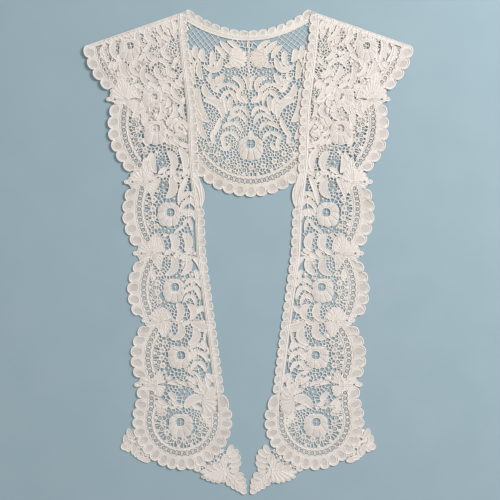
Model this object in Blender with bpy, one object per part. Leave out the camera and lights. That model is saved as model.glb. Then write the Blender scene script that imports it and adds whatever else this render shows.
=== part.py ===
"""A lace collar laid flat: a back panel, two long fronts folded over the shoulders, scalloped
edgings along the neck and the inner edges, and leaf sprays at the lower corners.

The lace is drawn on a lace-maker's chart. Columns are counted outward from the centre line and
rows downward from the top, so one half is drawn and the other mirrors it. Plates of cloth are
cut from the chart with their gaps, then laid: the back rests on the surface, the fronts lie on
the back, wrap round it at the shoulders and come down to the surface below it.
"""
import math

import bmesh
import bpy
import numpy as np
from mathutils import Vector
from mathutils.geometry import delaunay_2d_cdt

# ---- Driving sizes, in metres ----
COLLAR_LENGTH = 0.7250        # from the neck edging's top to the points of the fronts
CHART_ROWS = 483.35           # rows of the chart over that length
WALL = 0.0012                 # the lace with its raised cords
SEAM_GAP = 0.0003             # between pieces that meet
RELIEF = 0.0005               # how far the large flowers and leaves stand proud
UNDERLAP = 0.003              # what the front tucks under at the shoulder
BAR = 0.0015                  # the least lace left between two gaps
LEAST_GAP = 0.0040            # smaller gaps stay closed

SQUARE = COLLAR_LENGTH / CHART_ROWS
MID_ROW = 251.926             # the row through the middle of the laid collar
SEAM = SEAM_GAP / SQUARE
BACK_LEAN = 2.3               # columns the lower back has slipped to the right
LEAN_ROWS = (60.0, 130.0)

# ---- Layers and the fold at the shoulder ----
LIFT = WALL + SEAM_GAP        # height of the fronts where they lie on the back
FOLD_INNER = SEAM_GAP / 2
FOLD_MIDDLE = FOLD_INNER + WALL / 2
FOLD_OUTER = FOLD_INNER + WALL
FOLD_STEPS = 6
FOLD_ENDS = (Vector((58.0, 9.5)), Vector((163.0, 46.0)))
ALONG_FOLD = (FOLD_ENDS[1] - FOLD_ENDS[0]).normalized()
PAST_FOLD = Vector((ALONG_FOLD.y, -ALONG_FOLD.x))
CREASE = FOLD_ENDS[0] - PAST_FOLD * (FOLD_OUTER / SQUARE)
WRAP = math.pi * FOLD_MIDDLE / SQUARE
TUCKED = WRAP + UNDERLAP / SQUARE
RAMP_ROWS = (183.0, 190.0, 197.0, 204.0, 211.0)

# ---- Bands of the border, in squares ----
LADDER_HALF = 3.2             # from the ladder's middle to its cords
LADDER_STEPS = 40             # stations along the ladder of a bay
WIDE_LOBE = 4.6               # depth of the notches between wide scallops
SMALL_LOBE = 2.6              # and between the small ones of the edgings
WIDE_CORNERS = 6              # sides of a wide scallop
SMALL_CORNERS = 4
EDGING = 7.6                  # width of the edging

# Wide scallops: first tip, last tip, bow of the line of tips, number of scallops
BAYS = (
    ((164.3, 53.0), (145.6, 87.2), 2.8, 4),
    ((138.6, 110.5), (123.6, 168.7), 7.6, 6),
    ((123.1, 194.0), (117.6, 242.0), 5.4, 5),
    ((114.9, 265.5), (116.6, 311.0), 5.3, 5),
    ((110.0, 329.5), (114.8, 373.0), 5.2, 5),
)
# Ladders of rings: first ring, last ring, bow
LADDERS = (
    ((149.0, 50.0), (133.5, 82.0), 2.4),
    ((123.5, 110.0), (110.0, 163.5), 6.5),
    ((106.3, 190.0), (101.5, 238.0), 5.0),
    ((98.5, 263.0), (100.0, 312.0), 5.6),
    ((93.0, 331.0), (97.0, 375.0), 5.4),
)
# Buds between the bays: column and row of the bud's tip
BUDS = ((141.5, 99.5), (124.0, 182.0), (115.0, 253.5), (106.5, 320.5), (113.8, 384.7))

# The round medallion at the foot of each front
MEDALLION = Vector((66.0, 420.0))
MEDALLION_TIPS = 49.9
MEDALLION_RINGS = 33.3
MEDALLION_TURN = (-27.0, 193.0)
MEDALLION_SCALLOPS = 18
FOOT_ROW = 393.0              # where the inner edging ends
FOLD_ROW = 15.0               # and where it meets the shoulder

# The inner edge of the fronts: row and column of the line of tips
INNER_EDGE_ROWS = (9.0, 20.0, 60.0, 110.0, 168.0, 190.0, 212.0, 252.0, 268.0, 300.0, 345.0, 393.0)
INNER_EDGE_COLS = (61.8, 61.6, 58.0, 51.7, 49.7, 46.8, 44.0, 42.5, 40.4, 36.0, 30.0, 24.2)
# Its scallops: first row, last row, number
INNER_SCALLOPS = ((16.0, 172.0, 17), (172.0, 208.0, 1), (208.0, 256.0, 5), (256.0, 264.0, 1),
                  (264.0, 320.0, 6), (320.0, 393.0, 8))

# The front's corner at the shoulder, and where its cord ends at the foot
SHOULDER_ROUND = 1.5
FOOT_CORNERS = ((22.6, 401.0), (22.2, 398.8))
FOOT_CORD_ROW = 396.5
# Where the gaps of the front may start below the shoulder
GROUND_TOP_ROW = 21.0
GROUND_CORNER = (144.0, 47.0)
CORD_MARGIN = 1.0
RING_MARGIN = 0.6

# The back: neck line, bib and the hidden edge under the front
NECK_CORD_END = (61.0, 19.0)
NECK_CORD_DIP = 19.5
NECK_TIPS_END = (60.5, 8.6)
NECK_TIPS_DIP = 22.2
NECK_SCALLOPS = 14
BACK_GROUND_END = (58.0, 21.7)
SEEN_ROWS = (24.0, 60.0, 100.0, 140.0)
BIB_GROUND_TURN = (34.0, 84.0)
BIB_CENTRE = Vector((0.0, 121.4))
BIB_TIPS = 75.6
BIB_RINGS = 60.2
BIB_HALF_TURN = 49.5
BIB_SCALLOPS = 11
BACK_SHOULDER = (5.4, 96.0)   # where the back starts and ends along the crease
HIDDEN_EDGE = ((150.0, 50.5), (141.0, 75.0), (130.0, 97.0), (118.0, 120.0), (99.0, 142.0),
               (76.0, 150.0), (62.0, 160.0))

# ---- Motifs ----
PETALS = 7
BETWEEN_PETALS = 0.9          # reach of a flower between two petals
LEAF_BULGE = 0.22             # bow of the two leaves of an arch
# Large flowers: eye column and row, eye radius, body column and row, half width, half height
FLOWERS = (
    (92.0, 128.5, 4.0, 93.0, 133.0, 11.0, 12.0),
    (77.8, 212.5, 4.2, 79.5, 214.6, 11.1, 11.9),
    (73.2, 287.1, 4.1, 74.5, 290.7, 10.6, 11.8),
    (67.2, 355.2, 4.2, 69.5, 357.5, 10.8, 11.0),
    (68.0, 422.0, 4.2, 67.5, 425.5, 12.0, 11.5),
)
BIB_FLOWER = (0.0, 143.6, 4.6, 0.0, 147.5, 13.0, 13.0)
# Leaves of a front: stem column and row, tip column and row, width, bow as a share of length
FRONT_LEAVES = (
    (118.0, 31.0, 108.0, 50.0, 6.0, 0.25), (128.0, 36.0, 120.0, 56.0, 7.0, 0.25),
    (139.0, 44.0, 131.0, 60.0, 6.0, 0.20), (104.0, 28.0, 96.0, 44.0, 6.0, 0.25),
    (90.0, 23.0, 82.0, 37.0, 5.0, 0.20), (77.0, 20.0, 75.0, 34.0, 5.0, -0.20),
    (86.0, 47.0, 76.0, 60.0, 5.0, 0.20), (101.0, 52.0, 88.0, 60.0, 6.0, 0.20),
    (126.0, 60.0, 117.0, 78.0, 7.0, 0.20), (117.0, 62.0, 106.0, 76.0, 5.0, 0.25),
    (104.0, 66.0, 99.0, 86.0, 6.0, 0.20), (92.0, 66.0, 84.0, 80.0, 6.0, 0.20),
    (80.0, 64.0, 72.0, 78.0, 5.0, 0.25), (128.0, 80.0, 118.0, 98.0, 8.0, 0.10),
    (115.0, 84.0, 108.0, 98.0, 7.0, 0.15), (75.0, 84.0, 68.0, 100.0, 5.0, 0.20),
    (88.0, 86.0, 80.0, 100.0, 6.0, 0.20), (99.5, 92.0, 98.5, 112.0, 6.0, -0.10),
    (112.0, 101.0, 116.0, 118.0, 7.0, -0.20), (88.0, 104.0, 92.0, 120.0, 7.0, -0.30),
    (75.0, 104.0, 79.0, 118.0, 6.0, -0.30), (66.0, 104.0, 63.0, 118.0, 4.0, 0.20),
    (74.0, 124.0, 64.0, 132.0, 4.0, 0.20), (75.0, 134.0, 63.0, 144.0, 4.0, 0.20),
    (81.0, 151.5, 77.5, 172.5, 8.0, -0.25), (69.5, 148.0, 64.5, 172.0, 7.0, -0.15),
    (94.0, 154.0, 92.0, 173.0, 7.0, 0.15), (103.0, 158.0, 99.0, 174.0, 6.0, 0.10),
    (76.0, 178.0, 81.0, 195.0, 8.0, -0.30), (61.5, 177.0, 69.0, 203.0, 3.4, 0.06),
    (88.0, 179.0, 96.0, 197.0, 7.0, 0.15), (100.0, 178.0, 101.0, 194.0, 5.0, 0.10),
    (57.0, 176.0, 47.5, 207.0, 5.5, -0.16), (54.7, 212.6, 66.0, 212.6, 4.4, -0.15),
    (62.0, 224.5, 74.5, 234.0, 3.2, 0.05),
    (62.0, 235.0, 61.0, 250.0, 8.0, -0.30), (74.0, 236.0, 73.0, 250.0, 7.0, -0.30),
    (88.0, 237.0, 84.0, 250.5, 6.0, 0.10), (97.0, 240.0, 94.0, 251.0, 5.0, 0.10),
    (75.0, 256.0, 81.0, 272.0, 7.6, -0.35), (61.5, 256.0, 66.0, 271.0, 6.0, -0.30),
    (87.0, 255.0, 87.5, 270.0, 5.5, 0.15), (50.5, 256.0, 47.0, 268.0, 4.5, -0.10),
    (72.0, 304.5, 70.0, 320.0, 6.0, -0.35), (61.5, 306.0, 58.0, 320.0, 6.0, -0.35),
    (86.0, 307.0, 80.0, 320.0, 6.5, 0.10), (95.0, 312.0, 89.0, 321.0, 5.0, 0.10),
    (69.0, 323.5, 76.0, 338.0, 6.5, -0.40), (54.0, 328.0, 60.0, 343.5, 8.0, -0.30),
    (84.0, 322.0, 82.5, 337.0, 5.5, 0.15), (57.0, 321.5, 36.0, 326.5, 7.5, 0.14),
    (42.0, 330.0, 43.0, 341.0, 3.0, 0.10),
    (40.0, 389.0, 43.5, 376.0, 4.4, 0.10), (57.0, 371.0, 49.0, 389.0, 2.8, -0.25),
    (55.5, 381.0, 63.0, 378.0, 4.0, 0.20), (62.0, 386.0, 70.0, 383.0, 4.0, 0.20),
    (71.5, 384.5, 81.0, 383.0, 3.6, 0.10), (72.0, 400.5, 80.0, 392.5, 6.0, 0.05),
    (71.5, 406.0, 79.5, 406.0, 3.2, -0.20), (50.0, 382.0, 41.0, 399.0, 8.0, -0.10),
    (45.0, 399.0, 63.0, 408.5, 10.0, 0.22), (92.0, 378.0, 89.0, 396.0, 6.0, 0.15),
    (59.0, 366.0, 54.0, 375.0, 3.6, 0.20), (36.0, 386.0, 34.0, 397.0, 4.0, 0.10),
)
# Arches of leaves: apex column and row, left foot, right foot (from the apex), width
FRONT_ARCHES = (
    (57.7, 193.5, -7.5, 12.0, 9.0, 12.0, 3.2),
    (57.0, 202.0, -6.5, 11.0, 8.5, 8.0, 3.2),
    (60.0, 221.0, -3.0, 11.5, 3.5, 4.5, 3.0),
    (54.0, 279.0, -6.0, 8.0, 9.0, 5.0, 3.2),
    (55.0, 287.5, -6.5, 13.0, 7.5, 4.0, 3.4),
    (58.0, 295.5, -4.5, 9.0, 6.0, 7.0, 3.2),
    (51.0, 344.5, -8.0, 5.0, 6.5, 3.5, 3.2),
    (49.6, 352.5, -9.0, 9.0, 7.5, 9.0, 3.4),
    (51.0, 363.5, -8.0, 9.0, 5.0, 7.0, 3.2),
    (64.0, 74.0, -3.0, 9.0, 5.0, 8.0, 3.0),
    (66.0, 122.0, -5.0, 9.0, 6.0, 8.0, 3.0),
)
# Spider wheels: column, row, radius
FRONT_WHEELS = ((64.0, 392.0, 4.6), (84.5, 387.0, 4.4), (79.6, 414.0, 4.6))
# Leaves of half the back, counted from its own centre
BACK_LEAVES = (
    (30.0, 37.0, 25.0, 55.0, 4.6, -0.08), (22.0, 42.0, 11.0, 50.0, 4.0, 0.10),
    (24.5, 65.5, 5.0, 53.0, 9.5, 0.18), (44.0, 46.0, 41.0, 56.0, 4.2, 0.25),
    (37.0, 47.0, 33.5, 60.0, 4.4, 0.25), (42.5, 63.0, 28.0, 61.0, 5.0, -0.45),
    (40.5, 77.0, 26.5, 74.0, 5.4, -0.40), (53.0, 49.0, 48.0, 60.0, 3.6, 0.30),
    (45.0, 66.0, 47.0, 82.0, 4.2, 0.10), (54.0, 69.0, 53.0, 84.0, 4.0, 0.10),
    (41.0, 88.0, 20.0, 75.0, 4.4, -0.16), (17.0, 78.0, 8.0, 92.0, 4.6, -0.30),
    (6.0, 78.0, 1.6, 90.0, 3.6, -0.20), (58.0, 90.0, 45.5, 112.0, 9.0, 0.28),
    (44.0, 103.5, 29.5, 119.0, 9.0, 0.42), (29.5, 120.0, 38.0, 137.0, 4.4, -0.05),
    (26.5, 98.0, 23.0, 113.0, 4.0, -0.12), (16.5, 97.0, 11.5, 113.0, 4.4, -0.30),
    (7.5, 103.0, -12.0, 108.5, 4.4, -0.35), (43.0, 112.0, 38.5, 124.0, 7.0, 0.10),
    (55.5, 112.0, 52.0, 134.0, 5.0, -0.10), (31.0, 147.0, 20.0, 142.0, 3.6, 0.35),
)
BACK_ARCHES = (
    (14.0, 115.5, 11.5, 6.5, -11.0, 13.0, 3.4),
    (16.5, 123.5, 9.0, 4.5, -7.5, 5.0, 3.2),
    (18.5, 132.5, 8.0, 2.5, -5.5, 8.0, 3.2),
)
BACK_WHEELS = ((20.6, 72.6, 4.0), (13.6, 72.8, 4.0), (46.8, 123.6, 3.8))
# The diamond net in the upper corners of the back: column and row of its middle, half size
NET = (47.0, 34.0, 16.0, 13.5)
NET_PITCH = 4.15
NET_DEGREES = 38
NET_REACH = 6                 # diamonds counted each way from the middle

# ---- Fillings along the ladders, inward of the rings ----
EYELET_IN = 10.8
FLORET_IN = 13.2
EYELET_RADIUS = 2.1
EYELET_CORNERS = 6
EYE_CORNERS = 8
FLORET_RADIUS = 2.9
FILLED_EACH = 4               # florets along the ladder of one bay
MEDALLION_FILLINGS = 9
BIB_FILLINGS = 10
MEDALLION_FILLED = (-34.0, 196.0)
BIB_FILLED = (22.0, 158.0)

# ---- Gaps ----
GROUND_PITCH = 4.8            # squares from one gap's middle to the next
GROUND_GRID = 0.8             # squares between the places tried for a gap
SPREADS = 12                  # rounds that spread the gaps evenly
SEED = 7
RAYS = 8                      # directions in which a gap reaches from its middle
LONGEST_REACH = 6.0
NEIGHBOURS_WITHIN = 14.0
TRIES = 4                     # times a gap is drawn in before it is given up
DRAWN_IN = 0.88
LEAST_CORNERS = 4
MERGED_CORNERS = 1.6          # corners closer than this become one
FRONT_BANDS = (15, 50, 75, 99, 125, 150, 182, 217, 252, 286, 321, 353, 385, 408, 430, 455)
FRONT_EACH = 5                # the largest gaps kept in each band of rows
BACK_BANDS = (15, 50, 75, 95, 120, 145, 170, 190)
BACK_EACH = 5

# The leaf sprays: outline from the medallion round to it again, where that lies on the
# medallion in degrees, and gaps as column, row and radius
POINT_SPRAY = (
    (18.4, 443.2), (17.2, 446.8), (14.6, 443.8), (12.4, 447.4), (9.2, 450.4), (10.4, 454.0),
    (8.0, 457.0), (9.6, 460.6), (8.0, 464.2), (9.8, 467.4), (9.0, 471.0), (11.4, 473.4),
    (7.6, 473.6), (7.0, 476.8), (4.2, 478.4), (3.8, 482.2), (1.9, 484.6), (2.8, 488.2),
    (1.6, 493.6), (6.0, 493.2), (8.4, 490.8), (12.0, 490.8), (14.0, 488.0), (17.6, 487.2),
    (19.6, 484.2), (23.6, 484.0), (26.0, 481.2), (29.6, 482.0), (32.6, 479.0), (36.4, 479.8),
    (39.2, 476.6), (43.0, 477.2), (45.4, 474.0), (48.6, 474.2), (50.6, 471.6), (50.4, 469.4),
)
SPRAY_TURN = (108.5, 153.5)
SPRAY_GAPS = ((24.2, 455.6, 2.0), (33.4, 464.0, 1.9), (21.0, 449.6, 1.5))
CORNER_SPRIG = (
    (97.4, 461.4), (101.0, 458.6), (105.6, 459.6), (109.4, 456.4), (113.6, 455.6),
    (115.4, 452.0), (119.6, 452.0), (121.6, 448.8), (127.4, 448.6), (127.4, 445.0),
    (122.8, 442.8), (121.0, 440.4), (123.0, 436.8), (120.6, 433.6), (120.8, 429.4),
    (117.6, 427.2), (116.4, 426.6),
)
SPRIG_TURN = (8.0, 52.0)
SPRIG_GAPS = ((113.6, 438.6, 1.9), (108.4, 449.2, 2.0), (118.0, 431.6, 1.5))

# ---- Colours and finish ----
COLLAR = "lace_collar"
THREAD = (0.83, 0.79, 0.72)
SHADED_THREAD = (0.80, 0.74, 0.64)
FINE_THREAD = (0.86, 0.83, 0.78)
MATTE = 0.85


# ---- Drawing on the chart ----
def bowed_line(start, end, bow, count, before=0.0, after=0.0):
    """Points from start to end on a line bowed outward, past its ends by a share of it."""
    start, end = Vector(start), Vector(end)
    span = end - start
    out = Vector((span.y, -span.x)).normalized()
    shares = np.linspace(-before, 1 + after, count)
    return [start + span * t + out * (4 * t * (1 - t) * bow) for t in shares]


def round_line(centre, radius, turn, count):
    """Points on a circle. Zero degrees is outward from the centre line, ninety is down."""
    angles = np.radians(np.linspace(turn[0], turn[1], count))
    return [centre + Vector((math.cos(a), math.sin(a))) * radius for a in angles]


def scallops(line, count, depth, corners=WIDE_CORNERS):
    """Turn a line of tips into scallops: rounded lobes between notches of the given depth."""
    xy = np.array([tuple(p) for p in line])
    run = np.concatenate([[0], np.cumsum(np.hypot(*np.diff(xy, axis=0).T))])
    tangent = np.gradient(xy, run, axis=0)
    edge = []
    for step in range(count * corners + 1):
        share = step / (count * corners)
        place = share * run[-1]
        point = Vector([np.interp(place, run, xy[:, axis]) for axis in (0, 1)])
        along = Vector([np.interp(place, run, tangent[:, axis]) for axis in (0, 1)]).normalized()
        across = 2 * (step % corners) / corners - 1
        inward = Vector((-along.y, along.x))
        edge.append(point + inward * depth * (1 - math.sqrt(max(0.0, 1 - across * across))))
    return edge


def leaf(stem_col, stem_row, tip_col, tip_row, width, bow, stations=5):
    """A pointed leaf, its middle line bowed to the outward side of its run by a share of it."""
    stem, tip = Vector((stem_col, stem_row)), Vector((tip_col, tip_row))
    span = tip - stem
    out = Vector((span.y, -span.x)) * bow
    sides = ([], [])
    for step in range(stations + 1):
        t = step / stations
        middle = stem + span * t + out * (4 * t * (1 - t))
        along = (span + out * (4 - 8 * t)).normalized()
        half = 0.5 * width * math.sin(math.pi * (0.06 + 0.94 * t) ** 0.85) ** 0.7
        across = Vector((along.y, -along.x)) * half
        sides[0].append(middle + across)
        if 0 < step < stations:
            sides[1].append(middle - across)
    return sides[0] + sides[1][::-1]


def arch(apex_col, apex_row, foot_col, foot_row, other_col, other_row, width):
    """Two leaves that meet at the apex of an arch."""
    return [leaf(apex_col, apex_row, apex_col + foot_col, apex_row + foot_row, width,
                 math.copysign(LEAF_BULGE, foot_col)),
            leaf(apex_col, apex_row, apex_col + other_col, apex_row + other_row, width,
                 math.copysign(LEAF_BULGE, other_col))]


def disc(col, row, radius, corners=10, height=None):
    """A round or oval outline about a point."""
    height = radius if height is None else height
    turns = [2 * math.pi * k / corners for k in range(corners)]
    return [Vector((col + radius * math.cos(a), row + height * math.sin(a))) for a in turns]


def flower(col, row, half_width, half_height):
    """The lobed body of a large flower, drawn in a little between its petals."""
    body = []
    for step in range(PETALS * 2):
        turn = math.pi * step / PETALS - math.pi / 2
        reach = 1.0 if step % 2 else BETWEEN_PETALS
        body.append(Vector((col + half_width * reach * math.cos(turn),
                            row + half_height * reach * math.sin(turn))))
    return body


def edge_column(row):
    """Column of the fronts' inner edge at a row."""
    return float(np.interp(row, INNER_EDGE_ROWS, INNER_EDGE_COLS))


def inward_of(line, distance):
    """Shift a line square to its run, toward the centre of the collar."""
    xy = np.array([tuple(p) for p in line])
    along = np.gradient(xy, axis=0)
    along /= np.hypot(along[:, 0], along[:, 1])[:, None]
    return [Vector(p) for p in xy + np.column_stack([-along[:, 1], along[:, 0]]) * distance]


def ladder_fillings(line_at, pitch_count):
    """Florets and eyelets that alternate along the inside of a ladder."""
    florets, eyelets = [], []
    for step in range(2 * pitch_count - 1):
        point, inward = line_at((step + 1) / (2 * pitch_count))
        if step % 2:
            eyelets.append(point + inward * EYELET_IN)
        else:
            florets.append(point + inward * FLORET_IN)
    return florets, eyelets


def bay_line(index):
    """Along the ladder of a bay: the point and the direction inward at a share of it."""
    line = bowed_line(*LADDERS[index], LADDER_STEPS + 1)
    inner = inward_of(line, 1.0)

    def line_at(share):
        step = round(share * LADDER_STEPS)
        return line[step], inner[step] - line[step]
    return line_at


def circle_line(centre, radius, turn):
    """The same along a ladder that is part of a circle."""
    def line_at(share):
        angle = math.radians(turn[0] + (turn[1] - turn[0]) * share)
        out = Vector((math.cos(angle), math.sin(angle)))
        return centre + out * radius, -out
    return line_at


# ---- Ground: the gaps between the motifs ----
def covered(points, outline):
    """Which of the points lie inside an outline."""
    x, y = points[:, 0], points[:, 1]
    inside = np.zeros(len(points), bool)
    for a, b in zip(outline, outline[1:] + outline[:1]):
        if a.y != b.y:
            crossing = (a.y > y) != (b.y > y)
            inside ^= crossing & (x < (b.x - a.x) * (y - a.y) / (b.y - a.y) + a.x)
    return inside


def ground_seeds(region, motifs, pitch):
    """Middles for the gaps, spread evenly over what the motifs leave of a region."""
    xs = [p.x for p in region]
    ys = [p.y for p in region]
    grid = np.array([(x, y) for y in np.arange(min(ys), max(ys), GROUND_GRID)
                     for x in np.arange(min(xs), max(xs), GROUND_GRID)])
    grid = grid[covered(grid, region)]
    for motif in motifs:
        grid = grid[~covered(grid, motif)]
    rng = np.random.default_rng(SEED)
    count = int(len(grid) * GROUND_GRID ** 2 / pitch ** 2)
    seeds = grid[rng.choice(len(grid), count, replace=False)]
    for _ in range(SPREADS):
        nearest = np.empty(len(grid), int)
        for part in np.array_split(np.arange(len(grid)), 1 + len(grid) // 2000):
            away = ((grid[part, None, :] - seeds[None, :, :]) ** 2).sum(axis=2)
            nearest[part] = away.argmin(axis=1)
        for k in range(len(seeds)):
            mine = grid[nearest == k]
            if len(mine):
                seeds[k] = mine.mean(axis=0)
    inside = ~np.any([covered(seeds, m) for m in motifs], axis=0) & covered(seeds, region)
    return seeds[inside]


def edges_of(outlines):
    """All the sides of some outlines, a row of both ends for each."""
    return np.array([(a.x, a.y, b.x, b.y) for outline in outlines
                     for a, b in zip(outline, outline[1:] + outline[:1])])


def ground_gaps(region, motifs, seeds):
    """One gap for each seed: its share of the ground, less half a bar all round."""
    bar = BAR / SQUARE
    edges = edges_of(motifs + [region])
    gaps = []
    for k, seed in enumerate(seeds):
        away = seeds - seed
        distance = np.hypot(away[:, 0], away[:, 1])
        near = (distance > 0) & (distance < NEIGHBOURS_WITHIN)
        away, distance = away[near], distance[near]
        start, run = edges[:, :2] - seed, edges[:, 2:] - edges[:, :2]
        corners = []
        for turn in np.arange(RAYS) * 2 * math.pi / RAYS + 0.4 * (k % 3):
            ray = np.array((math.cos(turn), math.sin(turn)))
            reach = LONGEST_REACH
            toward = away @ ray
            ahead = toward > 1e-6
            if ahead.any():
                to_bisector = (distance[ahead] / 2 - bar / 2) * distance[ahead] / toward[ahead]
                reach = min(reach, to_bisector.min())
            cross = ray[0] * run[:, 1] - ray[1] * run[:, 0]
            cross = np.where(abs(cross) < 1e-9, 1e-9, cross)
            t = (start[:, 0] * run[:, 1] - start[:, 1] * run[:, 0]) / cross
            u = (start[:, 0] * ray[1] - start[:, 1] * ray[0]) / cross
            hit = (t > 0) & (u >= 0) & (u <= 1)
            if hit.any():
                reach = min(reach, t[hit].min() - bar / 2)
            corners.append(Vector(seed + ray * reach) if reach > 0.5 else None)
        if None in corners:
            continue
        gaps.append(tidy_gap(corners, edges))
    return [gap for gap in gaps if gap]


def tidy_gap(corners, edges):
    """Drop corners that add nothing, and pull back those whose sides would cut a motif."""
    middle = middle_of(corners)
    for _ in range(TRIES):
        if not any(side_cuts(a, b, edges) for a, b in zip(corners, corners[1:] + corners[:1])):
            break
        corners = [middle + (corner - middle) * DRAWN_IN for corner in corners]
    else:
        return None
    kept = [corners[0]]
    for corner in corners[1:]:
        if (corner - kept[-1]).length > MERGED_CORNERS:
            kept.append(corner)
    if (kept[0] - kept[-1]).length < MERGED_CORNERS:
        kept.pop()
    return kept if len(kept) >= LEAST_CORNERS and width_of(kept) * SQUARE > LEAST_GAP else None


def largest_of_each(gaps, bands, each):
    """The largest gaps of each band of rows."""
    kept = []
    for top, bottom in zip(bands, bands[1:]):
        band = [gap for gap in gaps if top <= gap[0].y < bottom]
        kept += sorted(band, key=width_of, reverse=True)[:each]
    return kept


def side_cuts(a, b, edges):
    """Whether the side from a to b crosses any edge."""
    run = edges[:, 2:] - edges[:, :2]
    side = np.array(b - a)
    start = edges[:, :2] - np.array(a)
    cross = side[0] * run[:, 1] - side[1] * run[:, 0]
    cross = np.where(abs(cross) < 1e-9, 1e-9, cross)
    t = (start[:, 0] * run[:, 1] - start[:, 1] * run[:, 0]) / cross
    u = (start[:, 0] * side[1] - start[:, 1] * side[0]) / cross
    return bool(((t > 0) & (t < 1) & (u > 0) & (u < 1)).any())


def middle_of(outline):
    return sum(outline, Vector((0, 0))) / len(outline)


def area_of(outline):
    return 0.5 * sum(a.cross(b) for a, b in zip(outline, outline[1:] + outline[:1]))


def width_of(outline):
    """The diameter of a round gap of the same area."""
    return 2 * math.sqrt(abs(area_of(outline)) / math.pi)


# ---- Laying the cloth ----
def side_by_side(col, row, side):
    return Vector((side * col * SQUARE, (MID_ROW - row) * SQUARE))


def lay_on_surface(col, row, height, side):
    """The back and its edging lie on the surface. The lower back leans to the right."""
    low, high = LEAN_ROWS
    lean = BACK_LEAN * min(max((row - low) / (high - low), 0.0), 1.0)
    place = side_by_side(col, row, side)
    return place.x + lean * SQUARE, place.y, height


def lay_over_back(col, row, height, side):
    """The fronts wrap the shoulder, lie on the back and come down below it."""
    point = Vector((col, row))
    past = (point - CREASE).dot(PAST_FOLD)
    if past <= 0:
        share = min(max((row - RAMP_ROWS[0]) / (RAMP_ROWS[-1] - RAMP_ROWS[0]), 0.0), 1.0)
        steps = [k / (len(RAMP_ROWS) - 1) for k in range(len(RAMP_ROWS))]
        eased = [1 - t * t * (3 - 2 * t) for t in steps]
        place = side_by_side(col, row, side)
        return place.x, place.y, LIFT * float(np.interp(share, steps, eased)) + height
    turn = min(past / WRAP, 1.0) * math.pi
    radius = (FOLD_INNER + height) / SQUARE
    point += PAST_FOLD * (radius * math.sin(turn) - past - max(past - WRAP, 0.0))
    place = side_by_side(point.x, point.y, side)
    return place.x, place.y, FOLD_OUTER + (FOLD_INNER + height) * math.cos(turn)


def creases():
    """Where a front is scored so that it bends cleanly: across the ramp and round the fold."""
    lines = [(Vector((-5.0, row)), Vector((180.0, row))) for row in RAMP_ROWS]
    for step in range(FOLD_STEPS + 1):
        start = CREASE + PAST_FOLD * (WRAP * step / FOLD_STEPS)
        lines.append((start - ALONG_FOLD * 20, start + ALONG_FOLD * 140))
    return lines


# ---- Cutting the plates ----
def lace_plate(name, outline, gaps, raised, lay, side, score, material):
    """Cut a plate with its gaps, raise its bold motifs and lay it."""
    points, edges = [], []
    for ring in [outline] + gaps + [shape for pair in raised for shape in pair]:
        first = len(points)
        edges += [(first + k, first + (k + 1) % len(ring)) for k in range(len(ring))]
        points += ring
    for a, b in score:
        edges.append((len(points), len(points) + 1))
        points += [a, b]
    points, _, triangles = delaunay_2d_cdt(points, edges, [], 0, 1e-4, False)[:3]
    places = np.array([tuple(p) for p in points])
    middles = places[np.array(triangles)].mean(axis=1)
    cloth = covered(middles, outline)
    for gap in gaps:
        cloth &= ~covered(middles, gap)
    proud = np.zeros(len(places), bool)
    for _, top in raised:
        middle = np.array(middle_of(top))
        proud |= covered(middle + (places - middle) * 0.98, top)

    mesh = bmesh.new()
    height = mesh.verts.layers.float.new("height")
    corners = [mesh.verts.new((p.x, p.y, 0)) for p in points]
    for corner, stands in zip(corners, proud):
        corner[height] = RELIEF if stands else 0.0
    for triangle, kept in zip(triangles, cloth):
        if kept:
            mesh.faces.new([corners[k] for k in triangle])
    bmesh.ops.delete(mesh, geom=[v for v in mesh.verts if not v.link_faces], context='VERTS')
    upper = bmesh.ops.extrude_face_region(mesh, geom=mesh.faces[:])["geom"]
    upper = {item for item in upper if isinstance(item, bmesh.types.BMVert)}
    for vert in mesh.verts:
        tall = WALL + vert[height] if vert in upper else 0.0
        vert.co = lay(vert.co.x, vert.co.y, tall, side)
    bmesh.ops.recalc_face_normals(mesh, faces=mesh.faces[:])
    if mesh.calc_volume(signed=True) < 0:
        bmesh.ops.reverse_faces(mesh, faces=mesh.faces[:])
    bmesh.ops.triangulate(mesh, faces=mesh.faces[:])
    data = bpy.data.meshes.new(name)
    mesh.to_mesh(data)
    mesh.free()
    piece = bpy.data.objects.new(name, data)
    piece.data.materials.append(material)
    bpy.data.collections[COLLAR].objects.link(piece)
    return piece


def mirrored(outline):
    return [Vector((-p.x, p.y)) for p in outline[::-1]]


def drawn_in(outline, amount=0.8):
    """The same outline drawn in all round, for the top of a raised motif."""
    middle = middle_of(outline)
    return [middle + (p - middle) * (1 - amount / max((p - middle).length, amount * 2))
            for p in outline]


def thread_material(name, colour):
    material = bpy.data.materials.new(name)
    material.use_nodes = True
    finish = material.node_tree.nodes["Principled BSDF"]
    finish.inputs["Base Color"].default_value = (*colour, 1)
    finish.inputs["Roughness"].default_value = MATTE
    finish.inputs["Metallic"].default_value = 0.0
    return material


# ---- The pieces ----
def bud(col, row):
    """A bud on the edge, between two bays."""
    return [Vector((col + out, row + down)) for out, down in
            ((-5.0, -5.0), (-3.4, -1.8), (-0.9, -1.9), (0.0, 0.0), (-0.9, 1.9), (-3.4, 1.8),
             (-5.0, 5.0))]


def cord_line(first_row, last_row, shift=0.0):
    """The cord between a front and its edging, from one row to another."""
    rows = np.linspace(first_row, last_row, 13)
    return [Vector((edge_column(row) + EDGING + shift, row)) for row in rows]


def crease_at(col):
    """The point of the shoulder crease in a column."""
    return CREASE + ALONG_FOLD * ((col - CREASE.x) / ALONG_FOLD.x)


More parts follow.
